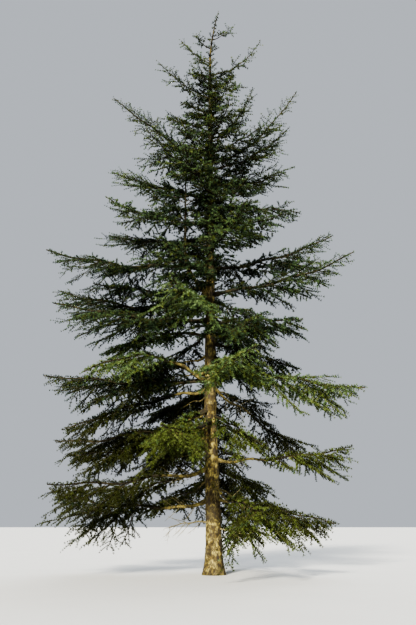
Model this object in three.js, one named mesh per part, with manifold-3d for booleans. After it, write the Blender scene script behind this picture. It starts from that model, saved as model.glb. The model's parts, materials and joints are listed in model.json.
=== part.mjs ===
// An Atlas cedar 20 m tall, in millimetres, +Z up, cut flat at ground level on z = 0.
// +X is the right of the tree and -Y its front. The trunk runs whole to the tip of its leader.
// Every limb is one row of a table or of a rule. Its foliage is a stem, twigs that leave the stem
// in turn on either side, and sprays of needles fused to them, each a flat blade with toothed edges.
import * as THREE from "three";
import { mergeVertices } from "three/addons/utils/BufferGeometryUtils.js";
import Module from "manifold-3d";

const wasm = await Module();
wasm.setup();

const { clamp, degToRad, lerp, smoothstep } = THREE.MathUtils;

// The trunk
const HEIGHT = 20000;
const FOOT_RADIUS = 272; // of the taper, without the root flare
const TIP_RADIUS = 7;
const TAPER_POWER = 0.9;
const FLARE = 115;
const FLARE_HEIGHT = 380;
const FLARE_LOBES = 4;
const FLARE_LOBE_SHARE = 0.35;
const LEAN = -110; // sideways, gained by LEAN_HEIGHT
const LEAN_HEIGHT = 6000;
const LEADER_FOOT = 18100;
const LEADER_BEND = 310;
const LEADER_POWER = 1.5;
const TRUNK_SIDES = 12;
const TRUNK_STEPS = 18;
const TRUNK_STEP_POWER = 1.7; // rings lie closer together in the root flare

// Limbs
const GAP = 0.35; // between pieces that meet
const LIMB_RADIUS_SHARE = 0.0125; // of the reach, at the trunk
const LIMB_RADIUS_LEAST = 14;
const LIMB_TIP_SHARE = 0.3; // of the radius at the trunk
const WANDER_SHARE = 0.035; // how far a limb sways to either side, of its reach
const BOUGH_SIDES = 6;
const BOUGH_STEPS = 3;
const DEAD_SIDES = 4;
const DEAD_STEPS = 3;
const DEAD_TWIGS = [0.45, 0.62, 0.8]; // places along the limb
const DEAD_TWIG_TURN = -0.2;
const DEAD_TWIG_LENGTHS = [0.24, 0.14]; // of the reach, near the trunk and at the tip
const DEAD_TWIG_RADII = [8, 4];

// Plates of foliage and their twigs
const SEED = 20117;
const STEM_SIDES = 3;
const STEM_END = 0.9; // of the limb's line, where the last spray takes over
const FIRST_TWIG = 0.03; // of the reach, past the bare wood
const BARE_MOST = 0.4; // of the reach
const PLATE_LEAST = 470; // half width of a plate of foliage
const PLATE_SHARE = 0.21; // and what each length of the limb's reach adds to it
const PLATE_FOOT = 0.34; // of the half width, at the trunk end
const PLATE_BULGE = 0.85; // of the half width, added between the ends
const PLATE_SKEW = 0.75; // below 1 moves the widest place towards the trunk
const TWIGS_LEAST = 3;
const TWIG_REACH = 1900; // of limb for each further twig
const TWIG_PLACES = [0.35, 0.65]; // where in its share of the stem a twig may leave it
const TWIG_ANGLE = degToRad(56);
const TWIG_TURN = 0.15; // the most that a twig turns from that angle, in radians
const TWIG_LIFTS = [0.3, 0.02, -0.42, -0.2]; // in turn, so that a plate has depth
const TWIG_SHARE = 0.28; // of the way from the stem to the plate's edge
const TWIG_REACHES = [0.9, 1.15]; // of that way, by chance
const TWIG_RADIUS_SHARE = 0.028;
const TWIG_RADIUS_LEAST = 9;
const TWIG_TAPER = 0.6;
const DROOP_LOW = 0.32; // a twig's fall for its length at the foot of the crown
const DROOP_HIGH = -0.12; // and at the top, where twigs rise
const CROWN_FOOT = 1500;

// Sprays of needles
const SPRAY_SHARE = 1.25; // of the way from the stem to the plate's edge
const SPRAY_LEAST = 700;
const SPRAY_LEAN = [0.45, 1.3]; // to one side or the other, as a slope
const SPRAY_THICK_SHARE = 0.045;
const SPRAY_MIDDLE = 0.45; // where a spray is thickest, of its length
const SPRAY_TEETH = [
  [0.36, 0.33],
  [0.44, 0.17],
  [0.7, 0.23],
]; // along and across one edge, of the spray's length
const SUNK = 0.1; // of a spray's length inside its twig
const HANGING_PLACE = 0.4; // along the twig, of the spray that hangs from it
const HANGING_SHARES = [0.8, 1.1]; // of the length of the spray at the twig's tip
const HANG_SHARE = 1.3; // of the twig's fall
const HANG_LEAST = 0.15;
const TIP_SPRAY_SHARE = 1.25; // of the limb's line past STEM_END
const TIP_SPRAY_PLACE = 0.97; // where it takes its direction from
const SLIVER = 4; // faces that fusing leaves narrower than this are dropped

// The room that each limb keeps for itself
const LEVEL_WEIGHT = 1.3; // heights count for more than level distances
const ROOM_SHARE = 1.7; // a point may be this much nearer to another limb than to its own
const CLEAR = 4; // between foliage of one limb and any other
const LINE_SAMPLES = 14;
const GROUND_CLEAR = 250;
const TRUNK_CLEAR = 70;

const BARK = { color: 0x6d6350, roughness: 0.95, metalness: 0 };
const DEAD_WOOD = { color: 0x8c8168, roughness: 0.95, metalness: 0 };
const NEEDLES = { color: 0x2f4a25, roughness: 0.8, metalness: 0 };

// The limbs of the two sides that show in full, one row each: the foot's height on the trunk,
// the reach, the rise from foot to tip, the sag of the line below the straight, the turn from
// the side's own direction in degrees, and the length that is a bare bough of its own.
const SIDE_LIMBS = {
  right: [
    [18800, 780, 330, 60, -20],
    [17400, 1850, 1220, 380, -8],
    [14950, 1800, 2380, 560, 28],
    [14300, 2300, 300, 80, -42],
    [13950, 3100, 2600, 560, -6],
    [13150, 3400, 1250, 200, 34],
    [12300, 3080, -300, -60, -6],
    [11350, 3300, -100, 60, -44],
    [10050, 4650, 1680, 250, 18],
    [9150, 4850, 1250, 260, -10],
    [8100, 3700, -400, -80, -40],
    [7450, 3050, -800, -60, 8],
    [6950, 5050, -1150, 180, -12],
    [6050, 3600, -2000, 120, 26, 1150],
    [3620, 4650, 430, 160, 4, 1400],
    [2420, 4050, -850, -60, -24, 900],
  ],
  left: [
    [18450, 560, 420, 60, 10],
    [17850, 1150, 1150, 120, -20],
    [16450, 1900, 1250, 200, 12],
    [15450, 2100, 950, 150, -40],
    [13850, 3480, 2620, 120, 0],
    [13250, 3100, 1000, 200, 46],
    [12600, 3800, 1550, 80, -20],
    [11650, 3650, 700, 260, 14],
    [11150, 4350, 850, 200, -30],
    [10150, 5600, 480, 260, 4],
    [8950, 5800, 850, 380, -20],
    [8250, 5450, 0, 150, 26],
    [7650, 3750, -550, -420, -6],
    [6350, 4900, 200, -520, -40, 1150],
    [6250, 5450, -20, 160, 8],
    [5250, 5900, -850, 330, -22],
    [3350, 5500, -650, 150, 28, 1500],
    [2350, 5600, 350, 420, -12, 1300],
  ],
};

// Bare, broken limbs low on the trunk, in the same columns.
const DEAD_LIMBS = {
  right: [[1420, 1150, -230, -60, -24]],
  left: [[1600, 1450, -150, -90, 14]],
};

// The limbs towards and away from the front, at even heights, the lowest with a bare bough.
const OTHER_LIMBS = {
  front: { top: 16600, bottom: 2950, count: 8 },
  back: { top: 17000, bottom: 2500, count: 7 },
};
const OTHER_REACH = 5000; // at the foot of the crown
const OTHER_RISE = 0.5; // of the reach, at the highest
const OTHER_FALL = 0.32; // of the reach, at the ground
const OTHER_LEVEL = 8800; // the height at which they leave the trunk level
const OTHER_SAG = 0.05;
const OTHER_TURN = 17; // degrees to one side of straight out and the other in turn
const OTHER_BARE = 1000;
const DIRECTIONS = { right: 0, back: 90, left: 180, front: 270 };

const UP = new THREE.Vector3(0, 0, 1);

// A repeatable draw between two values for a limb, a place on it and a use.
function draw([low, high], limb, place, use) {
  let hash = SEED;
  for (const key of [limb, place, use]) {
    hash = Math.imul(hash ^ (key + 1), 2654435761);
    hash ^= hash >>> 15;
  }
  return lerp(low, high, (hash >>> 0) / 2 ** 32);
}

function trunkAxis(z) {
  const lean = LEAN * smoothstep(z, 0, LEAN_HEIGHT);
  const leader = clamp((z - LEADER_FOOT) / (HEIGHT - LEADER_FOOT), 0, 1);
  return new THREE.Vector3(lean + LEADER_BEND * leader ** LEADER_POWER, 0, z);
}

function trunkRadius(z) {
  return (FOOT_RADIUS - TIP_RADIUS) * Math.max(0, 1 - z / HEIGHT) ** TAPER_POWER + TIP_RADIUS;
}

function flareRadius(z, angle) {
  const lobes = 1 + FLARE_LOBE_SHARE * Math.cos(FLARE_LOBES * angle);
  return FLARE * lobes * Math.exp(-z / FLARE_HEIGHT);
}

// The rows of the limbs of a side that has no table, top to bottom.
function otherRows({ top, bottom, count }) {
  return Array.from({ length: count }, (_, i) => {
    const foot = lerp(top, bottom, i / (count - 1));
    const reach = OTHER_REACH * (1 - (foot / HEIGHT) ** 2);
    const slope = foot > OTHER_LEVEL ? OTHER_RISE / (top - OTHER_LEVEL) : OTHER_FALL / OTHER_LEVEL;
    const rise = reach * slope * (foot - OTHER_LEVEL);
    const turn = i % 2 ? OTHER_TURN : -OTHER_TURN;
    return [foot, reach, rise, OTHER_SAG * reach, turn, i === count - 1 ? OTHER_BARE : 0];
  });
}

// Limbs made from rows, each with the values that its rule needs.
function limbsOf(tables, first) {
  const rows = Object.entries(tables).flatMap(([side, list]) =>
    list.map((row, i) => ({ row, side, name: `${side}_${String(i + 1).padStart(2, "0")}` })),
  );
  return rows.map(({ row, side, name }, i) => {
    const [foot, reach, rise, sag, turn, bare = 0] = row;
    const azimuth = degToRad(DIRECTIONS[side] + turn);
    return {
      name,
      index: first + i,
      foot,
      reach,
      rise,
      sag,
      bare,
      outward: new THREE.Vector3(Math.cos(azimuth), Math.sin(azimuth), 0),
      across: new THREE.Vector3(-Math.sin(azimuth), Math.cos(azimuth), 0),
      wander: reach * draw([-WANDER_SHARE, WANDER_SHARE], first + i, 0, 0),
      radius: Math.max(LIMB_RADIUS_LEAST, LIMB_RADIUS_SHARE * reach),
    };
  });
}

// A limb's centre line, from the middle of the trunk at 0 to its tip at 1.
function linePoint(limb, t) {
  const bow = 4 * t * (1 - t);
  return trunkAxis(limb.foot)
    .addScaledVector(limb.outward, limb.reach * t)
    .addScaledVector(limb.across, limb.wander * Math.sin(2 * Math.PI * t))
    .addScaledVector(UP, limb.rise * t - limb.sag * bow);
}

function lineDirection(limb, t) {
  const step = 0.01;
  return linePoint(limb, t + step).sub(linePoint(limb, t - step)).normalize();
}

function limbRadius(limb, t) {
  return limb.radius * lerp(1, LIMB_TIP_SHARE, t);
}

// How far the foliage spreads to each side, u running from its start at 0 to the tip at 1.
function plateHalfWidth(limb, u) {
  const widest = PLATE_LEAST + PLATE_SHARE * limb.reach;
  return widest * (PLATE_FOOT * (1 - u) + PLATE_BULGE * Math.sin(Math.PI * u ** PLATE_SKEW));
}

function droopAt(z) {
  const share = clamp((z - CROWN_FOOT) / (HEIGHT - CROWN_FOOT), 0, 1);
  return lerp(DROOP_LOW, DROOP_HIGH, share);
}

function levelAcross(direction) {
  return new THREE.Vector3().crossVectors(UP, direction).normalize();
}

// Turns a closed geometry into a solid that can be joined and cut.
function solid(geometry) {
  const bare = geometry.clone();
  bare.deleteAttribute("normal");
  bare.deleteAttribute("uv");
  const merged = mergeVertices(bare, 1e-3);
  const vertProperties = merged.getAttribute("position").array;
  const triVerts = new Uint32Array(merged.index.array);
  return new wasm.Manifold(new wasm.Mesh({ numProp: 3, vertProperties, triVerts }));
}

function meshOf(made, name, finish) {
  const data = made.getMesh();
  const geometry = new THREE.BufferGeometry();
  geometry.setAttribute("position", new THREE.BufferAttribute(data.vertProperties, data.numProp));
  geometry.setIndex(new THREE.BufferAttribute(data.triVerts, 1));
  geometry.computeVertexNormals();
  const mesh = new THREE.Mesh(geometry, new THREE.MeshStandardMaterial(finish));
  mesh.name = name;
  return mesh;
}

// A tube of flat sides through the points, square to the direction and with the radius given at
// each, made by bending a cylinder.
function tube(points, directions, radii, sides) {
  const steps = points.length - 1;
  const shape = new THREE.CylinderGeometry(1, 1, 1, sides, steps);
  const position = shape.getAttribute("position");
  const frames = directions.map((along) => {
    const level = levelAcross(along);
    return { level, upright: new THREE.Vector3().crossVectors(level, along) };
  });
  for (let i = 0; i < position.count; i++) {
    const ring = Math.round((position.getY(i) + 0.5) * steps);
    const point = points[ring]
      .clone()
      .addScaledVector(frames[ring].level, position.getX(i) * radii[ring])
      .addScaledVector(frames[ring].upright, position.getZ(i) * radii[ring]);
    position.setXYZ(i, point.x, point.y, point.z);
  }
  return shape;
}

// The trunk, or the same shape grown by a margin to cut its neighbours clear of it.
function trunkSolid(margin) {
  const shape = new THREE.CylinderGeometry(1, 1, 1, TRUNK_SIDES, TRUNK_STEPS);
  const position = shape.getAttribute("position");
  for (let i = 0; i < position.count; i++) {
    const z = HEIGHT * (position.getY(i) + 0.5) ** TRUNK_STEP_POWER;
    const angle = Math.atan2(position.getZ(i), position.getX(i));
    const out = Math.hypot(position.getX(i), position.getZ(i));
    const radius = out * (trunkRadius(z) + flareRadius(z, angle) + margin);
    const centre = trunkAxis(z);
    position.setXYZ(i, centre.x + radius * Math.cos(angle), centre.y - radius * Math.sin(angle), z);
  }
  return solid(shape);
}

// The wood of a limb, with a ring at each of the stations along its line.
function limbSolid(limb, stations, sides) {
  const points = stations.map((t) => linePoint(limb, t));
  const directions = stations.map((t) => lineDirection(limb, t));
  const radii = stations.map((t) => limbRadius(limb, t));
  return solid(tube(points, directions, radii, sides));
}

function evenStations(to, steps) {
  return Array.from({ length: steps + 1 }, (_, i) => (to * i) / steps);
}

// A short straight twig with three sides.
function twigSolid(root, tip, radii) {
  const along = tip.clone().sub(root).normalize();
  return solid(tube([root, tip], [along, along], radii, 3));
}

// The flat, toothed blade of one spray of needles, with the points of its outline after its root.
function sprayBlade(root, direction, normal, length) {
  const farEdge = [...SPRAY_TEETH].reverse().map(([along, out]) => [along, -out]);
  const outline = [[0, 0], ...SPRAY_TEETH, [1, 0], ...farEdge];
  const across = new THREE.Vector3().crossVectors(normal, direction).normalize();
  const over = new THREE.Vector3().crossVectors(direction, across);
  const at = (x, y, z) =>
    root
      .clone()
      .addScaledVector(direction, x * length)
      .addScaledVector(across, y * length)
      .addScaledVector(over, z * length);
  const rim = outline.map(([x, y]) => at(x, y, 0));
  const crest = at(SPRAY_MIDDLE, 0, SPRAY_THICK_SHARE / 2);
  const keel = at(SPRAY_MIDDLE, 0, -SPRAY_THICK_SHARE / 2);
  const faces = rim.flatMap((_, i) => {
    const next = (i + 1) % rim.length;
    return [rim.length, next, i, rim.length + 1, i, next];
  });
  const shape = new THREE.BufferGeometry().setFromPoints([...rim, crest, keel]);
  shape.setIndex(faces);
  return { made: solid(shape), outer: rim.slice(1) };
}

const otherTables = Object.fromEntries(
  Object.entries(OTHER_LIMBS).map(([side, rule]) => [side, otherRows(rule)]),
);
const limbs = limbsOf({ ...SIDE_LIMBS, ...otherTables }, 0);
const deadLimbs = limbsOf(DEAD_LIMBS, limbs.length);

// Heights are stretched, so that a limb's room is wider than it is deep.
function weighed(point) {
  return new THREE.Vector3(point.x, point.y, point.z * LEVEL_WEIGHT);
}

const weighedLines = [...limbs, ...deadLimbs].map((limb) =>
  evenStations(1, LINE_SAMPLES).map((t) => weighed(linePoint(limb, t))),
);

// The distance from a weighed point to a weighed line.
function lineDistance(point, line) {
  const segment = new THREE.Line3();
  const nearest = new THREE.Vector3();
  const distances = line.slice(1).map((end, i) => {
    segment.set(line[i], end);
    return segment.closestPointToPoint(point, true, nearest).distanceTo(point);
  });
  return Math.min(...distances);
}

function isClearOfTrunk(point) {
  const axis = trunkAxis(point.z);
  return Math.hypot(point.x - axis.x, point.y - axis.y) > trunkRadius(point.z) + TRUNK_CLEAR;
}

// True where no point is much nearer to another limb, or close to the trunk or the ground.
function keepsToRoom(points, limb) {
  return points.every((point) => {
    if (point.z < GROUND_CLEAR || !isClearOfTrunk(point)) return false;
    const place = weighed(point);
    const most = lineDistance(place, weighedLines[limb.index]) / ROOM_SHARE;
    return weighedLines.every((line, i) => i === limb.index || lineDistance(place, line) > most);
  });
}

// The solids so far. A new one is taken up where it stays clear of those of other limbs, and a
// spray also of the other sprays of its own.
const takenUp = [];

function boxOf(made) {
  const { min, max } = made.boundingBox();
  return new THREE.Box3(new THREE.Vector3(...min), new THREE.Vector3(...max));
}

function takeUp(made, limb, isSpray) {
  const box = boxOf(made).expandByScalar(CLEAR);
  const isRival = (other) => other.limb !== limb || (isSpray && other.isSpray);
  const near = takenUp.filter((other) => isRival(other) && other.box.intersectsBox(box));
  const isClear = near.every((other) => made.minGap(other.made, CLEAR) >= CLEAR);
  if (isClear) takenUp.push({ limb, made, box, isSpray });
  return isClear;
}

// The direction of a twig that leaves a limb on the given side.
function twigDirection(limb, t, side, turn, lift) {
  const along = lineDirection(limb, t);
  const level = levelAcross(along);
  const angle = TWIG_ANGLE + turn;
  return along
    .multiplyScalar(Math.cos(angle))
    .addScaledVector(level, side * Math.sin(angle))
    .addScaledVector(UP, lift - droopAt(linePoint(limb, t).z))
    .normalize();
}

// Where the foliage of a limb starts on its line: past the bare wood, or just clear of the trunk.
function leafStart(limb) {
  const clear = limb.bare || trunkRadius(limb.foot) + 2 * TRUNK_CLEAR;
  return Math.min(BARE_MOST, clear / limb.reach + FIRST_TWIG);
}

// The twigs of a limb's foliage: straight lines from the stem, each with the plate's reach there.
function twigsOf(limb) {
  const start = leafStart(limb);
  const count = TWIGS_LEAST + Math.floor(limb.reach / TWIG_REACH);
  return Array.from({ length: count }, (_, k) => {
    const u = (k + draw(TWIG_PLACES, limb.index, k, 1)) / count;
    const t = lerp(start, STEM_END, u);
    const side = (k + limb.index) % 2 ? 1 : -1;
    const turn = draw([-TWIG_TURN, TWIG_TURN], limb.index, k, 2);
    const lift = TWIG_LIFTS[(k + limb.index) % TWIG_LIFTS.length];
    const direction = twigDirection(limb, t, side, turn, lift);
    const reach = plateHalfWidth(limb, u) * draw(TWIG_REACHES, limb.index, k, 3);
    const root = linePoint(limb, t);
    const tip = root.clone().addScaledVector(direction, reach * TWIG_SHARE);
    return { k, t, reach, root, tip, direction };
  });
}

// The stem of a limb's foliage, from the trunk or from the end of its bare bough.
function stemSolid(limb, twigs) {
  const from = limb.bare ? (limb.bare + GAP) / limb.reach : 0;
  return limbSolid(limb, [from, ...twigs.map((twig) => twig.t), STEM_END], STEM_SIDES);
}

// The biggest body of a solid that fusing may have left in several.
function largest(made) {
  return made.decompose().sort((a, b) => b.volume() - a.volume())[0];
}

// Adds a spray to a limb's parts, leaning to one side, where it keeps to the limb's room.
function addSpray(parts, limb, root, direction, length) {
  const lean = draw(SPRAY_LEAN, limb.index, parts.length, 5);
  const side = draw([-1, 1], limb.index, parts.length, 6) < 0 ? -1 : 1;
  const normal = UP.clone().addScaledVector(levelAcross(direction), side * lean);
  const sunkRoot = root.clone().addScaledVector(direction, -SUNK * length);
  const { made, outer } = sprayBlade(sunkRoot, direction, normal, length);
  if (keepsToRoom(outer, limb) && takeUp(made, limb, true)) parts.push(made);
}

// The direction of the spray that hangs from a twig, forward and down.
function hangingDirection(limb, twig) {
  const hang = HANG_SHARE * droopAt(twig.root.z) + HANG_LEAST;
  return twig.direction
    .clone()
    .add(lineDirection(limb, twig.t))
    .multiplyScalar(0.5)
    .addScaledVector(UP, -hang)
    .normalize();
}

// One limb's foliage: its stem, its twigs and their sprays, fused.
function foliageSolid(limb, stem, twigs, grownTrunk) {
  const parts = [stem];
  for (const twig of twigs) {
    const radius = Math.max(TWIG_RADIUS_LEAST, twig.reach * TWIG_RADIUS_SHARE);
    const wood = twigSolid(twig.root, twig.tip, [radius, radius * TWIG_TAPER]);
    if (!keepsToRoom([twig.tip], limb) || !takeUp(wood, limb, false)) continue;
    parts.push(wood);
    const length = Math.max(SPRAY_LEAST, twig.reach * SPRAY_SHARE);
    const hangingLength = length * draw(HANGING_SHARES, limb.index, twig.k, 4);
    const hangingRoot = twig.root.clone().lerp(twig.tip, HANGING_PLACE);
    addSpray(parts, limb, twig.tip, twig.direction, length);
    addSpray(parts, limb, hangingRoot, hangingDirection(limb, twig), hangingLength);
  }
  const tipLength = Math.max(SPRAY_LEAST, limb.reach * (1 - STEM_END) * TIP_SPRAY_SHARE);
  addSpray(parts, limb, linePoint(limb, STEM_END), lineDirection(limb, TIP_SPRAY_PLACE), tipLength);
  const fused = parts.reduce((sum, part) => sum.add(part)).asOriginal().simplify(SLIVER);
  return largest(limb.bare ? fused : fused.subtract(grownTrunk));
}

function boughSolid(limb, grownTrunk) {
  const stations = evenStations(limb.bare / limb.reach, BOUGH_STEPS);
  return limbSolid(limb, stations, BOUGH_SIDES).subtract(grownTrunk);
}

// A bare limb with a few short twigs, left where it died.
function deadLimbSolid(limb, grownTrunk) {
  const wood = limbSolid(limb, evenStations(1, DEAD_STEPS), DEAD_SIDES).subtract(grownTrunk);
  const twigs = DEAD_TWIGS.map((t, k) => {
    const direction = twigDirection(limb, t, k % 2 ? 1 : -1, DEAD_TWIG_TURN, 0);
    const root = linePoint(limb, t);
    const tip = root.clone().addScaledVector(direction, limb.reach * lerp(...DEAD_TWIG_LENGTHS, t));
    return twigSolid(root, tip, DEAD_TWIG_RADII);
  });
  return largest(twigs.reduce((sum, twig) => sum.add(twig), wood));
}

const tree = new THREE.Group();
const grownTrunk = trunkSolid(GAP);
tree.add(meshOf(trunkSolid(0), "trunk", BARK));
for (const limb of limbs.filter((each) => each.bare)) {
  tree.add(meshOf(boughSolid(limb, grownTrunk), `bough_${limb.name}`, BARK));
}
for (const limb of deadLimbs) {
  tree.add(meshOf(deadLimbSolid(limb, grownTrunk), `dead_limb_${limb.name}`, DEAD_WOOD));
}
const starts = limbs.map((limb) => {
  const twigs = twigsOf(limb);
  const stem = stemSolid(limb, twigs);
  takenUp.push({ limb, made: stem, box: boxOf(stem), isSpray: false });
  return { limb, stem, twigs };
});
for (const { limb, stem, twigs } of starts) {
  const made = foliageSolid(limb, stem, twigs, grownTrunk);
  tree.add(meshOf(made, `foliage_${limb.name}`, NEEDLES));
}

export default tree;
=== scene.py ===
"""Atlas cedar, 20 m tall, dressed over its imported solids.

Everything is in metres, +Z up, with the cut under the trunk on z = 0 and the front towards -Y.
The limbs, twigs and sprays follow the rule that the solids were grown by, carried on to finer
twigs and to needles.
"""

from __future__ import annotations

import json
import logging
import math
from collections.abc import Sequence
from dataclasses import dataclass, replace
from enum import Enum, IntEnum
from itertools import pairwise

import bpy
import numpy as np
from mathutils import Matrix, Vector

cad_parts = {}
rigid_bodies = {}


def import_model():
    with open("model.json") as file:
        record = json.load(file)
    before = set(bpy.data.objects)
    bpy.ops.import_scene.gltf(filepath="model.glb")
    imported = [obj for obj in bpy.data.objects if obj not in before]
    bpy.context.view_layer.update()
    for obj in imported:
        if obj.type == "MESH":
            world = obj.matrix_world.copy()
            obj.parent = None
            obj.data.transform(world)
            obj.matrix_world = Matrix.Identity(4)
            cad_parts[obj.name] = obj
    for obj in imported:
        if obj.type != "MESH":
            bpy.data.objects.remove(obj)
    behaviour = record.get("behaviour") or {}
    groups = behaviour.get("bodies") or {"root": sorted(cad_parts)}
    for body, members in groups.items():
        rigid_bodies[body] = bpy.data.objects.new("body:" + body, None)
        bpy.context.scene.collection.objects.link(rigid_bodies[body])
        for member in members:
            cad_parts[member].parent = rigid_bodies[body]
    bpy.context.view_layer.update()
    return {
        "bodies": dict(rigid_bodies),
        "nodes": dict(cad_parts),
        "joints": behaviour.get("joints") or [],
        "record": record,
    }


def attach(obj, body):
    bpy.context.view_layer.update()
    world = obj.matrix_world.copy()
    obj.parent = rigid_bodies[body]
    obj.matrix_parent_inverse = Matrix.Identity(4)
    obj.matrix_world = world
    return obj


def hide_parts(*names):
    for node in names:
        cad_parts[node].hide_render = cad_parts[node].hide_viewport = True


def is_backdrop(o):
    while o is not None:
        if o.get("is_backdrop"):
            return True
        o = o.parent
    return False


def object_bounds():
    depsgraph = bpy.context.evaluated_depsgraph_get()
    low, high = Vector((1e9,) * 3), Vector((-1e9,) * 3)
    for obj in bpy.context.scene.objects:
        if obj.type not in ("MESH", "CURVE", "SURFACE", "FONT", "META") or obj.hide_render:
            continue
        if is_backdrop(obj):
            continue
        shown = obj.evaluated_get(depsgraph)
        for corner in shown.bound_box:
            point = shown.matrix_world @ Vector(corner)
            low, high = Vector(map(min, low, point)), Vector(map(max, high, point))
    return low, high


LOG = logging.getLogger("cedar")

Array = np.ndarray
Colour = tuple[float, float, float]
Span = tuple[float, float]

# A noise's scale and its detail.
Noise = tuple[float, float]

Object = bpy.types.Object
Material = bpy.types.Material
Node = bpy.types.Node
NodeTree = bpy.types.NodeTree
Socket = bpy.types.NodeSocket
UP = np.array([0.0, 0.0, 1.0])

# What a vector is at least divided by, and how level a direction is that counts as upright.
SHORTEST = 1e-9
UPRIGHT = 1e-3

SEED = 20117
HASH_PRIME = 2654435761
HASH_SHIFT = 15
WORD = 2**32
NUMBERS_EACH = 1000

# What the leader's shoots carry in place of a limb's number.
LEADER = -1

CROWN_REACH = 5.8
CROWN_SHOULDER = 1.02
RISING_FROM = 2.0
RISING_OVER = 14.0


class Use(IntEnum):
    """What a draw is for, so that no two draws run alike."""

    SWAY = 0
    PLACE = 1
    ANGLE = 2
    LENGTH = 3
    INNER_REACH = 5
    INNER_SLOPE = 6
    PHASE = 7
    ROLL = 8
    TWIG_SWAY = 9
    BRANCHING = 11
    NEEDLE = 21
    BRANCHLET_NEEDLES = 31
    TWIG_NEEDLES = 41
    LEADER_NEEDLES = 51
    DEAD_TWIG = 61
    FORKING = 71
    TOP_SHOOT = 81


class Side(Enum):
    """The side of the tree that a limb grows to, as its direction in degrees."""

    RIGHT = 0.0
    BACK = 90.0
    LEFT = 180.0
    FRONT = 270.0


class Kind(Enum):
    """Three kinds of finish by name: bark, dead wood and needles. Nothing in the script uses them."""

    BARK = "bark"
    DEAD_WOOD = "dead_wood"
    NEEDLES = "needles"


def draw(low: float, high: float, limb: Array | int, place: Array | int, use: int) -> Array:
    """A repeatable draw between two values, by the solids' own rule.

    Args:
        low: The lowest value.
        high: The highest value.
        limb: The number of a limb or twig, or an array of them.
        place: The place on it, or an array of them.
        use: What the draw is for.

    Returns:
        One value for each limb and place.
    """
    value = np.asarray([SEED], np.uint64)
    for key in (limb, place, use):
        value = (value ^ (np.asarray(key).astype(np.uint64) + np.uint64(1))) * np.uint64(HASH_PRIME)
        value = value & np.uint64(WORD - 1)
        value = value ^ (value >> np.uint64(HASH_SHIFT))
    return low + (high - low) * value.astype(float) / WORD


def lerp(low: Array | float, high: Array | float, share: Array | float) -> Array | float:
    """The value a share of the way from low to high."""
    return low + (high - low) * share


def unit(vectors: Array) -> Array:
    """The vectors, each made one metre long."""
    return vectors / np.maximum(np.linalg.norm(vectors, axis=-1, keepdims=True), SHORTEST)


def level_across(directions: Array) -> Array:
    """The level direction square to each direction.

    Args:
        directions: The directions, one row each.

    Returns:
        A level direction for each, along x where it is upright.
    """
    across = np.cross(UP, directions)
    across[np.linalg.norm(across, axis=-1) < UPRIGHT] = (1.0, 0.0, 0.0)
    return unit(across)


def runs(counts: Array) -> tuple[Array, Array]:
    """Whose run each place is in, and its place in that run, for runs of the counts."""
    which = np.repeat(np.arange(len(counts)), counts)
    return which, np.arange(counts.sum()) - np.repeat(np.cumsum(counts) - counts, counts)


def risen(z: Array) -> Array:
    """How far up the crown the heights are, as a share."""
    return np.clip((z - RISING_FROM) / RISING_OVER, 0, 1)


@dataclass(frozen=True)
class TrunkShape:
    """The trunk's line and thickness, with the sizes of its solid."""

    height: float = 20.0
    foot_radius: float = 0.272
    tip_radius: float = 0.007
    taper_power: float = 0.9
    flare: float = 0.115
    flare_height: float = 0.38
    flare_lobes: int = 4
    flare_lobe_share: float = 0.35
    lean: float = -0.11
    lean_height: float = 6.0
    leader_foot: float = 18.1
    leader_bend: float = 0.31
    leader_power: float = 1.5

    def axis(self, z: Array | float) -> Array:
        """The points of the trunk's middle.

        Args:
            z: Heights.

        Returns:
            A point for each height.
        """
        z = np.atleast_1d(np.asarray(z, float))
        low = np.clip(z / self.lean_height, 0, 1)
        leader = np.clip((z - self.leader_foot) / (self.height - self.leader_foot), 0, 1)
        x = self.lean * low**2 * (3 - 2 * low) + self.leader_bend * leader**self.leader_power
        return np.stack([x, np.zeros_like(z), z], axis=-1)

    def radius(self, z: Array | float) -> Array:
        """The radius at the heights, without the root flare."""
        share = np.clip(1 - np.asarray(z, float) / self.height, 0, 1)
        return (self.foot_radius - self.tip_radius) * share**self.taper_power + self.tip_radius

    def flare_radius(self, z: Array | float) -> Array:
        """What the root flare adds to the radius at the heights, without its lobes."""
        return self.flare * np.exp(-np.asarray(z, float) / self.flare_height)


TRUNK = TrunkShape()


def crown_share(points: Array) -> Array:
    """How far out in the crown points are, 1 being its outside."""
    reach = CROWN_REACH * (CROWN_SHOULDER - (np.clip(points[:, 2], 0, TRUNK.height) / TRUNK.height) ** 2)
    return np.hypot(points[:, 0], points[:, 1]) / reach


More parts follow.
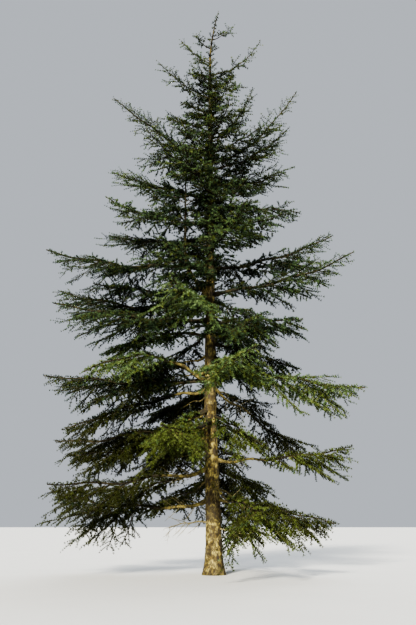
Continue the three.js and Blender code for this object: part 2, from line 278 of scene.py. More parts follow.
@dataclass(frozen=True)
class Limb:
    """One limb's line, from the middle of the trunk at 0 to its tip at 1.

    The wander is how far it sways to either side, of its reach, and bare is the length at the
    trunk that carries no foliage.
    """

    name: str
    side: Side
    index: int
    foot: float
    reach: float
    rise: float
    sag: float
    turn: float
    bare: float = 0.0
    radius_share: float = 0.0125
    radius_least: float = 0.014
    tip_share: float = 0.3
    wander_share: float = 0.035
    crook: float = 0.1
    wave_share: float = 0.012
    waves: float = 2.6
    step: float = 0.01

    @property
    def azimuth(self) -> float:
        """The limb's direction from above, in radians."""
        return math.radians(self.side.value + self.turn)

    @property
    def length(self) -> float:
        """How long the limb is, straight from foot to tip."""
        return math.hypot(self.reach, self.rise)

    @property
    def outward(self) -> Array:
        """The level direction that the limb grows in."""
        return np.array([math.cos(self.azimuth), math.sin(self.azimuth), 0.0])

    def points(self, t: Array | float) -> Array:
        """The points of the limb's middle.

        Args:
            t: Shares of its length.

        Returns:
            A point for each share.
        """
        t = np.atleast_1d(np.asarray(t, float))[:, None]
        across = np.array([-math.sin(self.azimuth), math.cos(self.azimuth), 0.0])
        wander = self.reach * draw(-self.wander_share, self.wander_share, self.index, 0, Use.SWAY)
        phase = draw(0, 2 * np.pi, self.index, 0, Use.PHASE)
        wave = self.wave_share * self.reach * np.sin(2 * np.pi * self.waves * t + phase)
        height = self.rise * t - self.sag * 4 * t * (1 - t) + wave * np.sin(np.pi * t)
        if self.bare:
            height = height - self.crook * np.sin(np.pi * np.clip(t * self.reach / self.bare, 0, 1)) ** 2
        sway = wander * np.sin(2 * np.pi * t) * across
        return TRUNK.axis(self.foot) + self.outward * self.reach * t + sway + UP * height

    def headings(self, t: Array | float) -> Array:
        """The limb's direction at the shares t of its length."""
        t = np.atleast_1d(np.asarray(t, float))
        return unit(self.points(t + self.step) - self.points(t - self.step))

    def radii(self, t: Array | float) -> Array:
        """The limb's thickness at the shares t of its length."""
        thick = max(self.radius_least, self.radius_share * self.reach)
        return thick * lerp(1.0, self.tip_share, np.atleast_1d(np.asarray(t, float)))


@dataclass(frozen=True)
class SecondStem(Limb):
    """The strong limb that leaves the trunk steeply and then runs up beside it."""

    bend_end: float = 0.32

    def points(self, t: Array | float) -> Array:
        """The points of its middle.

        Args:
            t: Shares of its length.

        Returns:
            A point for each share.
        """
        t = np.atleast_1d(np.asarray(t, float))[:, None]
        out = 1 - (1 - np.clip(t / self.bend_end, -1, 1)) ** 2
        return TRUNK.axis(self.foot) + self.outward * self.sag * out + UP * self.rise * t


# The rows of the solids' tables: the foot's height on the trunk, the reach, the rise from foot to
# tip, the sag of the line below the straight, the turn in degrees, and the bare length.
Rows = Sequence[tuple[float, ...]]
RIGHT_ROWS = (
    (18.8, 0.78, 0.33, 0.06, -20),
    (17.4, 1.85, 1.22, 0.38, -8),
    (14.95, 1.8, 2.38, 0.56, 28),
    (14.3, 2.3, 0.3, 0.08, -42),
    (13.95, 3.1, 2.6, 0.56, -6),
    (13.15, 3.4, 1.25, 0.2, 34),
    (12.3, 3.08, -0.3, -0.06, -6),
    (11.35, 3.3, -0.1, 0.06, -44),
    (10.05, 4.65, 1.68, 0.25, 18),
    (9.15, 4.85, 1.25, 0.26, -10),
    (8.1, 3.7, -0.4, -0.08, -40),
    (7.45, 3.05, -0.8, -0.06, 8),
    (6.95, 5.05, -1.15, 0.18, -12),
    (6.05, 3.6, -2.0, 0.12, 26, 1.15),
    (3.62, 4.65, 0.43, 0.16, 4, 1.4),
    (2.42, 4.05, -0.85, -0.06, -24, 0.9),
)
LEFT_ROWS = (
    (18.45, 0.56, 0.42, 0.06, 10),
    (17.85, 1.15, 1.15, 0.12, -20),
    (16.45, 1.9, 1.25, 0.2, 12),
    (15.45, 2.1, 0.95, 0.15, -40),
    (13.85, 3.48, 2.62, 0.12, 0),
    (13.25, 3.1, 1.0, 0.2, 46),
    (12.6, 3.8, 1.55, 0.08, -20),
    (11.65, 3.65, 0.7, 0.26, 14),
    (11.15, 4.35, 0.85, 0.2, -30),
    (10.15, 5.6, 0.48, 0.26, 4),
    (8.95, 5.8, 0.85, 0.38, -20),
    (8.25, 5.45, 0.0, 0.15, 26),
    (7.65, 3.75, -0.55, -0.42, -6),
    (6.35, 4.9, 0.2, -0.52, -40, 1.15),
    (6.25, 5.45, -0.02, 0.16, 8),
    (5.25, 5.9, -0.85, 0.33, -22),
    (3.35, 5.5, -0.65, 0.15, 28, 1.5),
    (2.35, 5.6, 0.35, 0.42, -12, 1.3),
)
DEAD_ROWS = {
    Side.RIGHT: ((1.42, 1.15, -0.23, -0.06, -24),),
    Side.LEFT: ((1.6, 1.45, -0.15, -0.09, 14),),
}
DEAD_THICKNESS = 0.02


@dataclass(frozen=True)
class OtherLimbs:
    """The rule for the limbs of a side that has no table, at even heights."""

    top: float
    bottom: float
    count: int
    reach: float = 5.0
    turn: float = 17.0
    bare: float = 1.0
    rise: float = 0.5
    fall: float = 0.32
    level: float = 8.8
    sag: float = 0.05

    def rows(self) -> Rows:
        """The rows of these limbs, from the top down."""
        made = []
        for i in range(self.count):
            foot = lerp(self.top, self.bottom, i / (self.count - 1))
            reach = self.reach * (1 - (foot / TRUNK.height) ** 2)
            above = foot > self.level
            slope = self.rise / (self.top - self.level) if above else self.fall / self.level
            turn = self.turn if i % 2 else -self.turn
            bare = self.bare if i == self.count - 1 else 0.0
            rise = reach * slope * (foot - self.level)
            made.append((foot, reach, rise, self.sag * reach, turn, bare))
        return made


LIVE_ROWS = {
    Side.RIGHT: RIGHT_ROWS,
    Side.LEFT: LEFT_ROWS,
    Side.FRONT: OtherLimbs(16.6, 2.95, 8).rows(),
    Side.BACK: OtherLimbs(17.0, 2.5, 7).rows(),
}
FILL_ROWS = {
    Side.FRONT: OtherLimbs(15.6, 7.8, 5, reach=4.4, turn=-24.0, bare=0.9).rows(),
    Side.BACK: OtherLimbs(15.8, 3.7, 6, reach=4.5, turn=-24.0, bare=0.0).rows(),
}
FILL_NUMBER = 420


def limbs_of(tables: dict[Side, Rows], first: int) -> list[Limb]:
    """The limbs of some tables.

    Args:
        tables: The rows of each side, from the top down.
        first: The number of the first limb.

    Returns:
        The limbs, named by side and place.
    """
    made: list[Limb] = []
    for side, rows in tables.items():
        for place, row in enumerate(rows, start=1):
            made.append(Limb(f"{side.name.lower()}_{place:02d}", side, first + len(made), *row))
    return made


@dataclass(frozen=True)
class InnerLimbs:
    """The rule for the short limbs that fill the crown between the long ones."""

    name: str = "inner"
    foot: float = 7.6
    top: float = 17.2
    count: int = 36
    turn: float = 137.5
    first_turn: float = 0.0
    arc: float = 360.0
    bare: float = 0.0
    reach_share: float = 0.48
    envelope: float = 5.6
    envelope_height: float = 21.0
    shares: Span = (0.55, 1.12)
    slopes: Span = (-0.4, 0.7)
    slope_spread: Span = (-0.15, 0.15)
    sag: float = 0.06

    def limbs(self, first: int) -> list[Limb]:
        """The limbs, from the lowest up.

        Args:
            first: The number of the lowest limb.

        Returns:
            The limbs, numbered in order.
        """
        made = []
        for i in range(self.count):
            height = i / (self.count - 1)
            foot = lerp(self.foot, self.top, height)
            widest = self.envelope * (1 - (foot / self.envelope_height) ** 2)
            reach_share = float(draw(*self.shares, first + i, 0, Use.INNER_REACH)[0])
            reach = widest * self.reach_share * reach_share
            slope = lerp(*self.slopes, height)
            slope = slope + float(draw(*self.slope_spread, first + i, 0, Use.INNER_SLOPE)[0])
            turn = self.first_turn + (i * self.turn) % self.arc
            row = (foot, reach, reach * slope, self.sag * reach, turn, self.bare)
            made.append(Limb(f"{self.name}_{i + 1:02d}", Side.RIGHT, first + i, *row))
        return made


UPPER_INNER = InnerLimbs()
LOWER_INNER = InnerLimbs(
    name="lower",
    foot=2.9,
    top=7.4,
    count=18,
    turn=67.0,
    first_turn=50.0,
    arc=160.0,
    bare=0.7,
    reach_share=0.66,
    slopes=(-0.12, -0.3),
)
SECOND_STEM = SecondStem(
    "second_stem", Side.LEFT, 400, 9.05, 4.9, 4.9, 0.88, 12.0, 1.7, 0.0155, tip_share=0.2
)
LEFT_FILL = Limb("left_fill_01", Side.LEFT, 401, 9.5, 4.1, 0.2, 0.24, -8)
LEFT_DROOPING = Limb("left_fill_02", Side.LEFT, 407, 5.95, 4.8, -1.45, -0.12, 6, 0.9)
LEFT_LOW = Limb("left_fill_03", Side.LEFT, 408, 4.35, 4.7, -0.6, 0.05, -6, 1.2)
FRONT_TIER = Limb("front_tier_01", Side.LEFT, 406, 6.1, 4.5, 0.0, -0.7, 30, 1.1, 0.016)
RIGHT_FILL = Limb("right_fill_01", Side.RIGHT, 405, 13.7, 2.9, 1.85, 0.35, 10)
FRONT_WINGS = (
    Limb("front_wing_01", Side.FRONT, 403, 5.2, 2.9, -1.35, -0.12, -42),
    Limb("front_wing_02", Side.FRONT, 404, 5.05, 2.6, -1.25, -0.1, 40),
)
SINGLE_LIMBS = (LEFT_FILL, LEFT_DROOPING, LEFT_LOW, FRONT_TIER, RIGHT_FILL, *FRONT_WINGS)


@dataclass
class Strands:
    """Many curved twigs as arrays, one row each.

    A twig runs from its root along length * (heading * s + bend * s * s), s going from 0 to 1.
    Its number seeds its draws, and its limb is the number of the limb that it grows on. One
    radius or limb may be given for all.
    """

    root: Array
    heading: Array
    bend: Array
    length: Array
    radius: Array | float
    limb: Array | int
    number: Array

    def __post_init__(self) -> None:
        """Gives each twig its own radius and limb."""
        self.radius = np.broadcast_to(self.radius, (len(self.length),))
        self.limb = np.broadcast_to(self.limb, (len(self.length),))

    def __len__(self) -> int:
        """How many twigs there are."""
        return len(self.length)

    def points(self, which: Array, s: Array) -> Array:
        """The points at the shares s of the twigs numbered by which."""
        way = self.heading[which] * s[:, None] + self.bend[which] * s[:, None] * s[:, None]
        return self.root[which] + self.length[which, None] * way

    def headings(self, which: Array, s: Array) -> Array:
        """The directions at the shares s of the twigs numbered by which."""
        return unit(self.heading[which] + 2 * self.bend[which] * s[:, None])

    def tips(self) -> Array:
        """The point at the end of each twig."""
        return self.points(np.arange(len(self)), np.ones(len(self)))

    def kept(self, keep: Array) -> Strands:
        """Only the twigs that a mask or a list of places picks."""
        return Strands(*(getattr(self, name)[keep] for name in self.__dataclass_fields__))

    def stations(self, steps: int) -> tuple[Array, Array]:
        """Points and directions at even steps along every twig.

        Args:
            steps: How many steps each twig is cut into.

        Returns:
            Two arrays of twigs by stations by three.
        """
        which = np.repeat(np.arange(len(self)), steps + 1)
        shares = np.tile(np.linspace(0, 1, steps + 1), len(self))
        shape = (len(self), steps + 1, 3)
        return self.points(which, shares).reshape(shape), self.headings(which, shares).reshape(shape)


def joined(parts: Sequence[Strands]) -> Strands:
    """The twigs of several sets in one."""
    names = Strands.__dataclass_fields__
    return Strands(*(np.concatenate([getattr(part, name) for part in parts]) for name in names))


@dataclass(frozen=True)
class PlateRule:
    """How a limb's plate of foliage spreads, with the sizes of the solids' rule.

    A spray's own length is counted with its twig's, so a branchlet here reaches as far as a
    twig and the spray at its tip do there.
    """

    stem_end: float = 0.97
    first_twig: float = 0.03
    bare_most: float = 0.4
    trunk_clear: float = 0.14
    least: float = 0.47
    share: float = 0.21
    at_foot: float = 0.34
    bulge: float = 0.85
    skew: float = 0.98
    tip_taper: float = 0.2
    places: Span = (0.35, 0.65)
    angle: float = math.radians(56)
    turn: float = 0.42
    lifts: tuple[float, ...] = (0.1, -0.1, -0.5, -0.28)
    front_fall: float = 0.3
    front_height: float = 9.0
    open_front: float = 5.5
    open_reach: float = 4.0
    slim_side: Side = Side.RIGHT
    slim_heights: Span = (10.5, 12.6)
    slim_share: float = 0.72
    reach_shares: Span = (1.3, 0.6)
    narrow_heights: Span = (13.0, 18.5)
    sparse_heights: Span = (16.5, 18.5)
    sparse_share: float = 0.5
    reaches: Span = (0.42, 1.02)
    sways: Span = (-0.16, 0.16)
    forward: float = 0.22
    curls: Span = (-0.04, 0.05)
    droops: Span = (0.32, -0.12)
    crown_foot: float = 1.5
    spacing: float = 0.13
    fewest: int = 6
    thickness: float = 0.0085
    thinnest: float = 0.005
    bare_taper: float = 0.3

    def half_width(self, limb: Limb, u: Array) -> Array:
        """How far the foliage spreads to each side.

        Args:
            limb: The limb that carries it.
            u: Shares of the way from the foliage's start to the tip.

        Returns:
            A width for each share.
        """
        widest = self.least + self.share * limb.reach
        spread = self.at_foot * (1 - u) + self.bulge * np.sin(np.pi * u**self.skew)
        return widest * spread * (1 - self.tip_taper * u**3)

    def droop(self, z: Array) -> Array:
        """A twig's fall for its length at the heights, less than nothing where twigs rise."""
        share = np.clip((z - self.crown_foot) / (TRUNK.height - self.crown_foot), 0, 1)
        return lerp(*self.droops, share)

    def leaf_start(self, limb: Limb) -> float:
        """Where the foliage of a limb starts.

        Args:
            limb: The limb.

        Returns:
            A share of its length.
        """
        if limb.side is Side.FRONT and limb.foot < self.open_front and limb.reach > self.open_reach:
            return self.bare_most
        clear = limb.bare or float(TRUNK.radius(limb.foot)) + self.trunk_clear
        return min(self.bare_most, clear / limb.reach + self.first_twig)

    def branchlets(self, limb: Limb) -> Strands:
        """The first twigs of a limb, which leave it in turn on either side.

        Args:
            limb: The limb that they grow on.

        Returns:
            The twigs, from the trunk outwards.
        """
        start = self.leaf_start(limb)
        thinned = float(np.interp(limb.foot, self.sparse_heights, (1.0, self.sparse_share)))
        count = round(thinned * (self.stem_end - start) * limb.length / self.spacing)
        k = np.arange(max(self.fewest, count))
        u = (k + draw(*self.places, limb.index, k, Use.PLACE)) / len(k)
        t = lerp(start, self.stem_end, u)
        root = limb.points(t)
        along = limb.headings(t)
        level = level_across(along)
        side = np.where((k + limb.index) % 2, 1.0, -1.0)[:, None]
        angle = (self.angle + draw(-self.turn, self.turn, limb.index, k, Use.ANGLE))[:, None]
        lift = np.array(self.lifts)[(k + limb.index) % len(self.lifts)] - self.droop(root[:, 2])
        if limb.side is Side.FRONT and limb.foot < self.front_height:
            lift = lift - self.front_fall
        heading = along * np.cos(angle) + level * side * np.sin(angle) + UP * lift[:, None]
        share = np.interp(root[:, 2], self.narrow_heights, self.reach_shares)
        if limb.side is self.slim_side and self.slim_heights[0] < limb.foot < self.slim_heights[1]:
            share = share * self.slim_share
        length = self.half_width(limb, u) * share * draw(*self.reaches, limb.index, k, Use.LENGTH)
        if limb.bare:
            length = length * np.clip(u / self.bare_taper, self.bare_taper, 1)
        sway = level * draw(*self.sways, limb.index, k, Use.TWIG_SWAY)[:, None]
        return Strands(
            root=root,
            heading=unit(heading),
            bend=along * self.forward + sway + UP * lerp(*self.curls, risen(root[:, 2]))[:, None],
            length=length,
            radius=np.maximum(self.thinnest, self.thickness * length),
            limb=limb.index,
            number=NUMBERS_EACH * (limb.index + 1) + k,
        )


@dataclass(frozen=True)
class ShootRule:
    """How finer twigs leave the twigs before them."""

    spacing: float
    places: Span
    angle: float
    turn: float
    lifts: Span
    droop_share: float
    length_share: float
    length_added: float
    taper: float
    lengths: Span
    forward: float
    curls: Span
    radius: float
    use: int
    within: Span = (0.25, 0.75)
    fewest: int = 2
    numbers_each: int = 40

    def grown(self, parents: Strands, plates: PlateRule) -> Strands:
        """The twigs that the parents carry.

        Args:
            parents: The twigs that they leave.
            plates: The rule that says how far twigs droop at a height.

        Returns:
            The finer twigs, parent by parent.
        """
        first, last = self.places
        counts = np.round(parents.length * (last - first) / self.spacing)
        counts = np.maximum(self.fewest, counts).astype(int)
        which, order = runs(counts)
        number = parents.number[which]
        place = (order + draw(*self.within, number, order, self.use)) / counts[which]
        s = lerp(first, last, place)
        root = parents.points(which, s)
        along = parents.headings(which, s)
        side = np.where((order + number) % 2, 1.0, -1.0)[:, None]
        angle = (self.angle + draw(-self.turn, self.turn, number, order, self.use + 1))[:, None]
        lift = draw(*self.lifts, number, order, self.use + 2)
        lift = lift - self.droop_share * plates.droop(root[:, 2])
        across = level_across(along) * side
        heading = along * np.cos(angle) + across * np.sin(angle) + UP * lift[:, None]
        length = self.length_added + self.length_share * parents.length[which] * (1 - self.taper * s)
        return Strands(
            root=root,
            heading=unit(heading),
            bend=along * self.forward + UP * lerp(*self.curls, risen(root[:, 2]))[:, None],
            length=length * draw(*self.lengths, number, order, self.use + 3),
            radius=self.radius,
            limb=parents.limb[which],
            number=number * self.numbers_each + order,
        )


BRANCHING = ShootRule(
    spacing=0.09,
    places=(0.06, 0.97),
    angle=math.radians(50),
    turn=0.58,
    lifts=(-0.6, 0.2),
    droop_share=0.3,
    length_share=0.3,
    length_added=0.15,
    taper=0.68,
    lengths=(0.7, 1.15),
    forward=0.2,
    curls=(0.05, 0.14),
    radius=0.005,
    use=Use.BRANCHING,
)
FORKING = ShootRule(
    spacing=0.11,
    places=(0.3, 0.92),
    angle=math.radians(42),
    turn=0.3,
    lifts=(-0.4, 0.4),
    droop_share=0.0,
    length_share=0.4,
    length_added=0.02,
    taper=0.5,
    lengths=(0.5, 1.2),
    forward=0.1,
    curls=(0.0, 0.0),
    radius=0.004,
    use=Use.FORKING,
)


@dataclass(frozen=True)
class TopShoots:
    """The short shoots that stand along the upper side of a limb and hide its wood."""

    spacing: float = 0.055
    lengths: Span = (0.07, 0.25)
    at_tip: float = 0.3
    rises: Span = (-0.5, 0.6)
    low: float = 7.0
    low_rises: Span = (-0.1, 0.9)
    low_share: float = 1.6
    low_spacing: float = 0.035
    within: Span = (0.2, 0.8)
    spread: float = 1.3
    forward: float = 0.7
    bend: float = 0.2
    curl: float = 0.15
    radius: float = 0.003
    fewest: int = 4
    first_number: int = 500000

    def shoots(self, limb: Limb, first: float) -> Strands:
        """The shoots of one limb.

        Args:
            limb: The limb.
            first: The share of its length where they start.

        Returns:
            The shoots, from there to its tip.
        """
        low = limb.foot < self.low
        spacing = self.low_spacing if low else self.spacing
        k = np.arange(max(self.fewest, round((1 - first) * limb.length / spacing)))
        t = lerp(first, 1.0, (k + draw(*self.within, limb.index, k, Use.TOP_SHOOT)) / len(k))
        along = limb.headings(t)
        sideways = draw(-self.spread, self.spread, limb.index, k, Use.TOP_SHOOT + 1)[:, None]
        rises = self.low_rises if low else self.rises
        rise = draw(*rises, limb.index, k, Use.TOP_SHOOT + 2)[:, None]
        length = draw(*self.lengths, limb.index, k, Use.TOP_SHOOT + 3)
        return Strands(
            root=limb.points(t),
            heading=unit(along * self.forward + level_across(along) * sideways + UP * rise),
            bend=along * self.bend + UP * self.curl,
            length=length * lerp(self.low_share if low else 1.0, self.at_tip, t),
            radius=self.radius,
            limb=limb.index,
            number=self.first_number + NUMBERS_EACH * limb.index + k,
        )


@dataclass(frozen=True)
class LeaderRule:
    """The short shoots round the trunk and its leader, with a longer one now and then."""

    foot: float = 9.3
    top: float = 19.92
    spacing: float = 0.055
    open_height: float = 17.3
    open_spacing: float = 0.06
    turn: float = 2.4
    turn_spread: float = 0.4
    rise: float = 0.4
    rise_spread: Span = (-0.2, 0.35)
    heights: tuple[float, ...] = (9.3, 16.5, 18.3, 19.92)
    lengths: tuple[float, ...] = (0.5, 0.5, 0.15, 0.05)
    length_spread: Span = (0.5, 1.1)
    long_every: int = 9
    long_share: float = 2.2
    curl: float = 0.22
    radius: float = 0.004
    seed: int = 900

    def shoots(self) -> Strands:
        """The shoots, from the lowest to the highest."""
        dense = np.arange(self.foot, self.open_height, self.spacing)
        z = np.concatenate([dense, np.arange(self.open_height, self.top, self.open_spacing)])
        k = np.arange(len(z))
        length = np.interp(z, self.heights, self.lengths)
        length = length * draw(*self.length_spread, self.seed, k, Use.LENGTH)
        longer = (k % self.long_every == 0) & (z > self.heights[1])
        spread = draw(-self.turn_spread, self.turn_spread, self.seed, k, Use.PLACE)
        azimuth = k * self.turn + spread
        rise = self.rise + draw(*self.rise_spread, self.seed, k, Use.ANGLE)
        return Strands(
            root=TRUNK.axis(z),
            heading=unit(np.stack([np.cos(azimuth), np.sin(azimuth), rise], axis=-1)),
            bend=np.outer(np.full(len(z), self.curl), UP),
            length=np.where(longer, length * self.long_share, length),
            radius=self.radius,
            limb=LEADER,
            number=NUMBERS_EACH * self.seed + k,
        )


@dataclass(frozen=True)
class DeadTwigs:
    """Bare, dry twigs on the dead limbs and on the bare lengths of the low boughs."""

    spacing: float = 0.065
    lengths: Span = (0.15, 0.75)
    within: Span = (0.2, 0.8)
    angle: float = 0.95
    forward: float = 0.15
    curls: Span = (-0.2, 0.2)
    drop: float = 0.05
    radius: float = 0.011
    thinnest: float = 0.0025
    fewest: int = 2
    first_number: int = 70000
    numbers_each: int = 100
    on_dead: Span = (0.25, 1.0)
    on_bare: float = 0.08

    def grown(self, limb: Limb, first: float, last: float) -> Strands:
        """The twigs of one limb.

        Args:
            limb: The limb.
            first: The share of its length where they start.
            last: The share where they end.

        Returns:
            The twigs.
        """
        k = np.arange(max(self.fewest, round((last - first) * limb.reach / self.spacing)))
        t = lerp(first, last, (k + draw(*self.within, limb.index, k, Use.DEAD_TWIG)) / len(k))
        along = limb.headings(t)
        level = level_across(along)
        turn = draw(0, 2 * np.pi, limb.index, k, Use.DEAD_TWIG + 1)[:, None]
        spoke = level * np.cos(turn) + np.cross(along, level) * np.sin(turn)
        length = draw(*self.lengths, limb.index, k, Use.DEAD_TWIG + 2)
        curl = draw(*self.curls, limb.index, k, Use.DEAD_TWIG + 3)[:, None]
        return Strands(
            root=limb.points(t),
            heading=unit(along * math.cos(self.angle) + spoke * math.sin(self.angle)),
            bend=along * self.forward + spoke * curl - UP * self.drop,
            length=length,
            radius=np.maximum(self.thinnest, self.radius * length / self.lengths[1]),
            limb=limb.index,
            number=self.first_number + self.numbers_each * limb.index + k,
        )


@dataclass(frozen=True)
class Finish:
    """A finish that is dealt out to pieces: its name and its main colour."""

    name: str
    colour: Colour


@dataclass(frozen=True)
class BarkFinish(Finish):
    """Bark, with plates, lichen and moss over its main colour.

    Aloft is how much of its lightness is left above the second of the heights: painted shade for the
    crown's shadow on the wood up inside it.
    """

    crack: Colour = (0.05, 0.04, 0.028)
    lichen: Colour = (0.4, 0.34, 0.12)
    moss: Colour = (0.22, 0.2, 0.03)
    moss_facing: Span = (0.2, 0.9)
    shade: float = 0.22
    knot_share: float = 0.0
    scale: float = 14.0
    stretch: float = 1.0
    lichen_share: float = 0.5
    rough: Span = (0.78, 0.95)
    gloss: float = 0.25
    bump: float = 0.5
    bump_depth: float = 0.008
    aloft: float = 1.0
    aloft_heights: Span = (9.5, 10.3)


@dataclass(frozen=True)
class NeedleFinish(Finish):
    """Needles of one tone."""

    scale: float = 9.0
    gloss: float = 0.15
    bump: float = 0.15
    bump_depth: float = 0.002
    grain: Noise = (240.0, 2.0)


BARK = BarkFinish(
    name="cedar_bark",
    colour=(0.155, 0.117, 0.04),
    scale=12.0,
    stretch=0.5,
    lichen_share=0.8,
    knot_share=1.0,
    aloft=0.35,
)
# Lighter than the trunk's bark: partly lichen and moss, partly painted sunlight on the bare lengths of
# the boughs.
LIT_AND_LICHEN_BOUGH_BARK = BarkFinish(
    name="bough_bark",
    colour=(0.215, 0.18, 0.058),
    scale=22.0,
    lichen_share=0.6,
    knot_share=0.4,
    aloft=0.5,
)
LIMB_BARK = BarkFinish(
    name="limb_bark",
    colour=(0.038, 0.034, 0.022),
    moss=(0.045, 0.05, 0.018),
    scale=30.0,
    lichen_share=0.1,
)
TWIG_BARK = BarkFinish("twig_bark", (0.13, 0.1, 0.06), scale=60.0, lichen_share=0.2)
DEAD_WOOD = BarkFinish("dead_wood", (0.48, 0.42, 0.24), scale=40.0)
COOL_TONES = (
    NeedleFinish("needles_deep", (0.009, 0.018, 0.009)),
    NeedleFinish("needles_dark", (0.021, 0.038, 0.018)),
    NeedleFinish("needles_mid", (0.047, 0.079, 0.033)),
    NeedleFinish("needles_green", (0.083, 0.128, 0.05)),
    NeedleFinish("needles_tip", (0.13, 0.184, 0.082)),
)
WARM_TONES = (
    NeedleFinish("needles_brown", (0.028, 0.034, 0.008)),
    NeedleFinish("needles_olive", (0.057, 0.072, 0.017)),
    NeedleFinish("needles_moss", (0.082, 0.11, 0.03)),
    NeedleFinish("needles_bright", (0.134, 0.164, 0.052)),
)


class Sheet:
    """A node tree that is being filled, with short ways to add and join its nodes."""

    def __init__(self, tree: NodeTree) -> None:
        """Keeps the tree and empties it."""
        self.tree = tree
        tree.nodes.clear()

    def add(self, kind: str, settings: dict | None = None, **inputs: object) -> Node:
        """Adds a node.

        Args:
            kind: The shader node's type.
            settings: Its properties.
            inputs: Its sockets by name, with _ for a space, each a value or an output to join.

        Returns:
            The node.
        """
        node = self.tree.nodes.new(f"ShaderNode{kind}")
        for name, value in (settings or {}).items():
            setattr(node, name, value)
        for name, value in inputs.items():
            self.feed(node.inputs[name.replace("_", " ")], value)
        return node

    def feed(self, socket: Socket, value: object) -> None:
        """Sets a socket to a value, or joins it to an output.

        Args:
            socket: The socket.
            value: The value or the output.
        """
        if isinstance(value, Socket):
            self.tree.links.new(value, socket)
        elif isinstance(value, tuple) and len(value) == 3 and socket.type == "RGBA":
            socket.default_value = (*value, 1.0)
        else:
            socket.default_value = value

    def worked(self, kind: str, operation: str, *values: object, **inputs: object) -> Socket:
        """What a Math or Vector Math node makes of some values.

        Args:
            kind: Math or VectorMath.
            operation: What it does.
            values: The values of its first sockets, in their order.
            inputs: Those of sockets that are fed by name.

        Returns:
            The node's result.
        """
        node = self.add(kind, {"operation": operation}, **inputs)
        for socket, value in zip(node.inputs, values):
            self.feed(socket, value)
        return node.outputs[0]

    def mixed(self, share: object, first: object, second: object) -> Socket:
        """The colour between two.

        Args:
            share: How far it is from the first to the second.
            first: A colour.
            second: The other.

        Returns:
            The colour.
        """
        node = self.add("Mix", {"data_type": "RGBA"})
        for place, value in ((0, share), (6, first), (7, second)):
            self.feed(node.inputs[place], value)
        return node.outputs[2]

    def ramp(self, value: object, span: Span = (0.0, 1.0), to: Span = (0.0, 1.0)) -> Socket:
        """A value moved from one span to another."""
        ends = {"From_Min": span[0], "From_Max": span[1], "To_Min": to[0], "To_Max": to[1]}
        return self.add("MapRange", Value=value, **ends).outputs[0]

    def noise(self, vector: object, scale: object, detail: float) -> Socket:
        """A cloudy value at the scale."""
        return self.add("TexNoise", Vector=vector, Scale=scale, Detail=detail).outputs["Fac"]

    def place(self) -> Socket:
        """The place on the object."""
        return self.add("TexCoord").outputs["Object"]


Group = tuple[Sheet, dict[str, Socket], dict[str, Socket]]


def new_group(name: str, inputs: dict[str, str], outputs: dict[str, str]) -> Group:
    """A shader node group with named sockets.

    Args:
        name: The group's name.
        inputs: The type of each input by its name.
        outputs: The type of each output by its name.

    Returns:
        The sheet to fill, the inputs inside it and the outputs to feed, by name.
    """
    tree = bpy.data.node_groups.new(name, "ShaderNodeTree")
    for names, way in ((inputs, "INPUT"), (outputs, "OUTPUT")):
        for label, kind in names.items():
            tree.interface.new_socket(name=label, in_out=way, socket_type=f"NodeSocket{kind}")
    sheet = Sheet(tree)
    entry = tree.nodes.new("NodeGroupInput")
    leave = tree.nodes.new("NodeGroupOutput")
    return sheet, {n: entry.outputs[n] for n in inputs}, {n: leave.inputs[n] for n in outputs}


@dataclass(frozen=True)
class BarkPattern:
    """Scaly plates with cracks, and patches of growth, scars and dark blotches over them."""

    warp: float = 0.11
    warp_detail: float = 3.0
    crack_width: float = 0.13
    patch_noise: Noise = (5.0, 8.0)
    patch_span: Span = (0.46, 0.6)
    mottle_detail: float = 6.0
    mottle_span: Span = (0.43, 0.62)
    scar_scale: float = 5.5
    scar_span: Span = (0.4, 0.24)
    stain_noise: Noise = (2.6, 7.0)
    stain_span: Span = (0.5, 0.62)
    stain_share: float = 0.72
    grain_noise: Noise = (120.0, 3.0)

    def build(self) -> NodeTree:
        """The group that puts out the pattern's masks and its relief."""
        results = dict.fromkeys(("Cracks", "Patches", "Mottle", "Knots", "Relief"), "Float")
        sheet, given, wanted = new_group("bark_pattern", {"Scale": "Float", "Stretch": "Float"}, results)
        scale = given["Scale"]
        coord = sheet.place()
        squash = sheet.add("CombineXYZ", X=1.0, Y=1.0, Z=given["Stretch"]).outputs[0]
        stretched = sheet.worked("VectorMath", "MULTIPLY", coord, squash)
        cloud = sheet.add("TexNoise", Vector=stretched, Scale=scale, Detail=self.warp_detail)
        push = (self.warp,) * 3
        warped = sheet.worked("VectorMath", "MULTIPLY_ADD", cloud.outputs["Color"], push, stretched)
        plates = sheet.add("TexVoronoi", {"feature": "DISTANCE_TO_EDGE"}, Vector=warped, Scale=scale)
        cracks = sheet.ramp(plates.outputs["Distance"], (0.0, self.crack_width), (1.0, 0.0))
        scars = sheet.add("TexVoronoi", {"feature": "F1"}, Vector=warped, Scale=self.scar_scale)
        spots = sheet.ramp(scars.outputs["Distance"], self.scar_span)
        # Large dark blotches, which join the knots' mask.
        dark_blotches = sheet.ramp(sheet.noise(coord, *self.stain_noise), self.stain_span)
        dark_blotches = sheet.worked("Math", "MULTIPLY", dark_blotches, self.stain_share)
        grain = sheet.noise(stretched, *self.grain_noise)
        found = {
            "Cracks": cracks,
            "Patches": sheet.ramp(sheet.noise(coord, *self.patch_noise), self.patch_span),
            "Mottle": sheet.ramp(sheet.noise(stretched, scale, self.mottle_detail), self.mottle_span),
            "Knots": sheet.worked("Math", "MAXIMUM", spots, dark_blotches),
            "Relief": sheet.worked("Math", "SUBTRACT", grain, cracks),
        }
        for name, value in found.items():
            sheet.feed(wanted[name], value)
        return sheet.tree


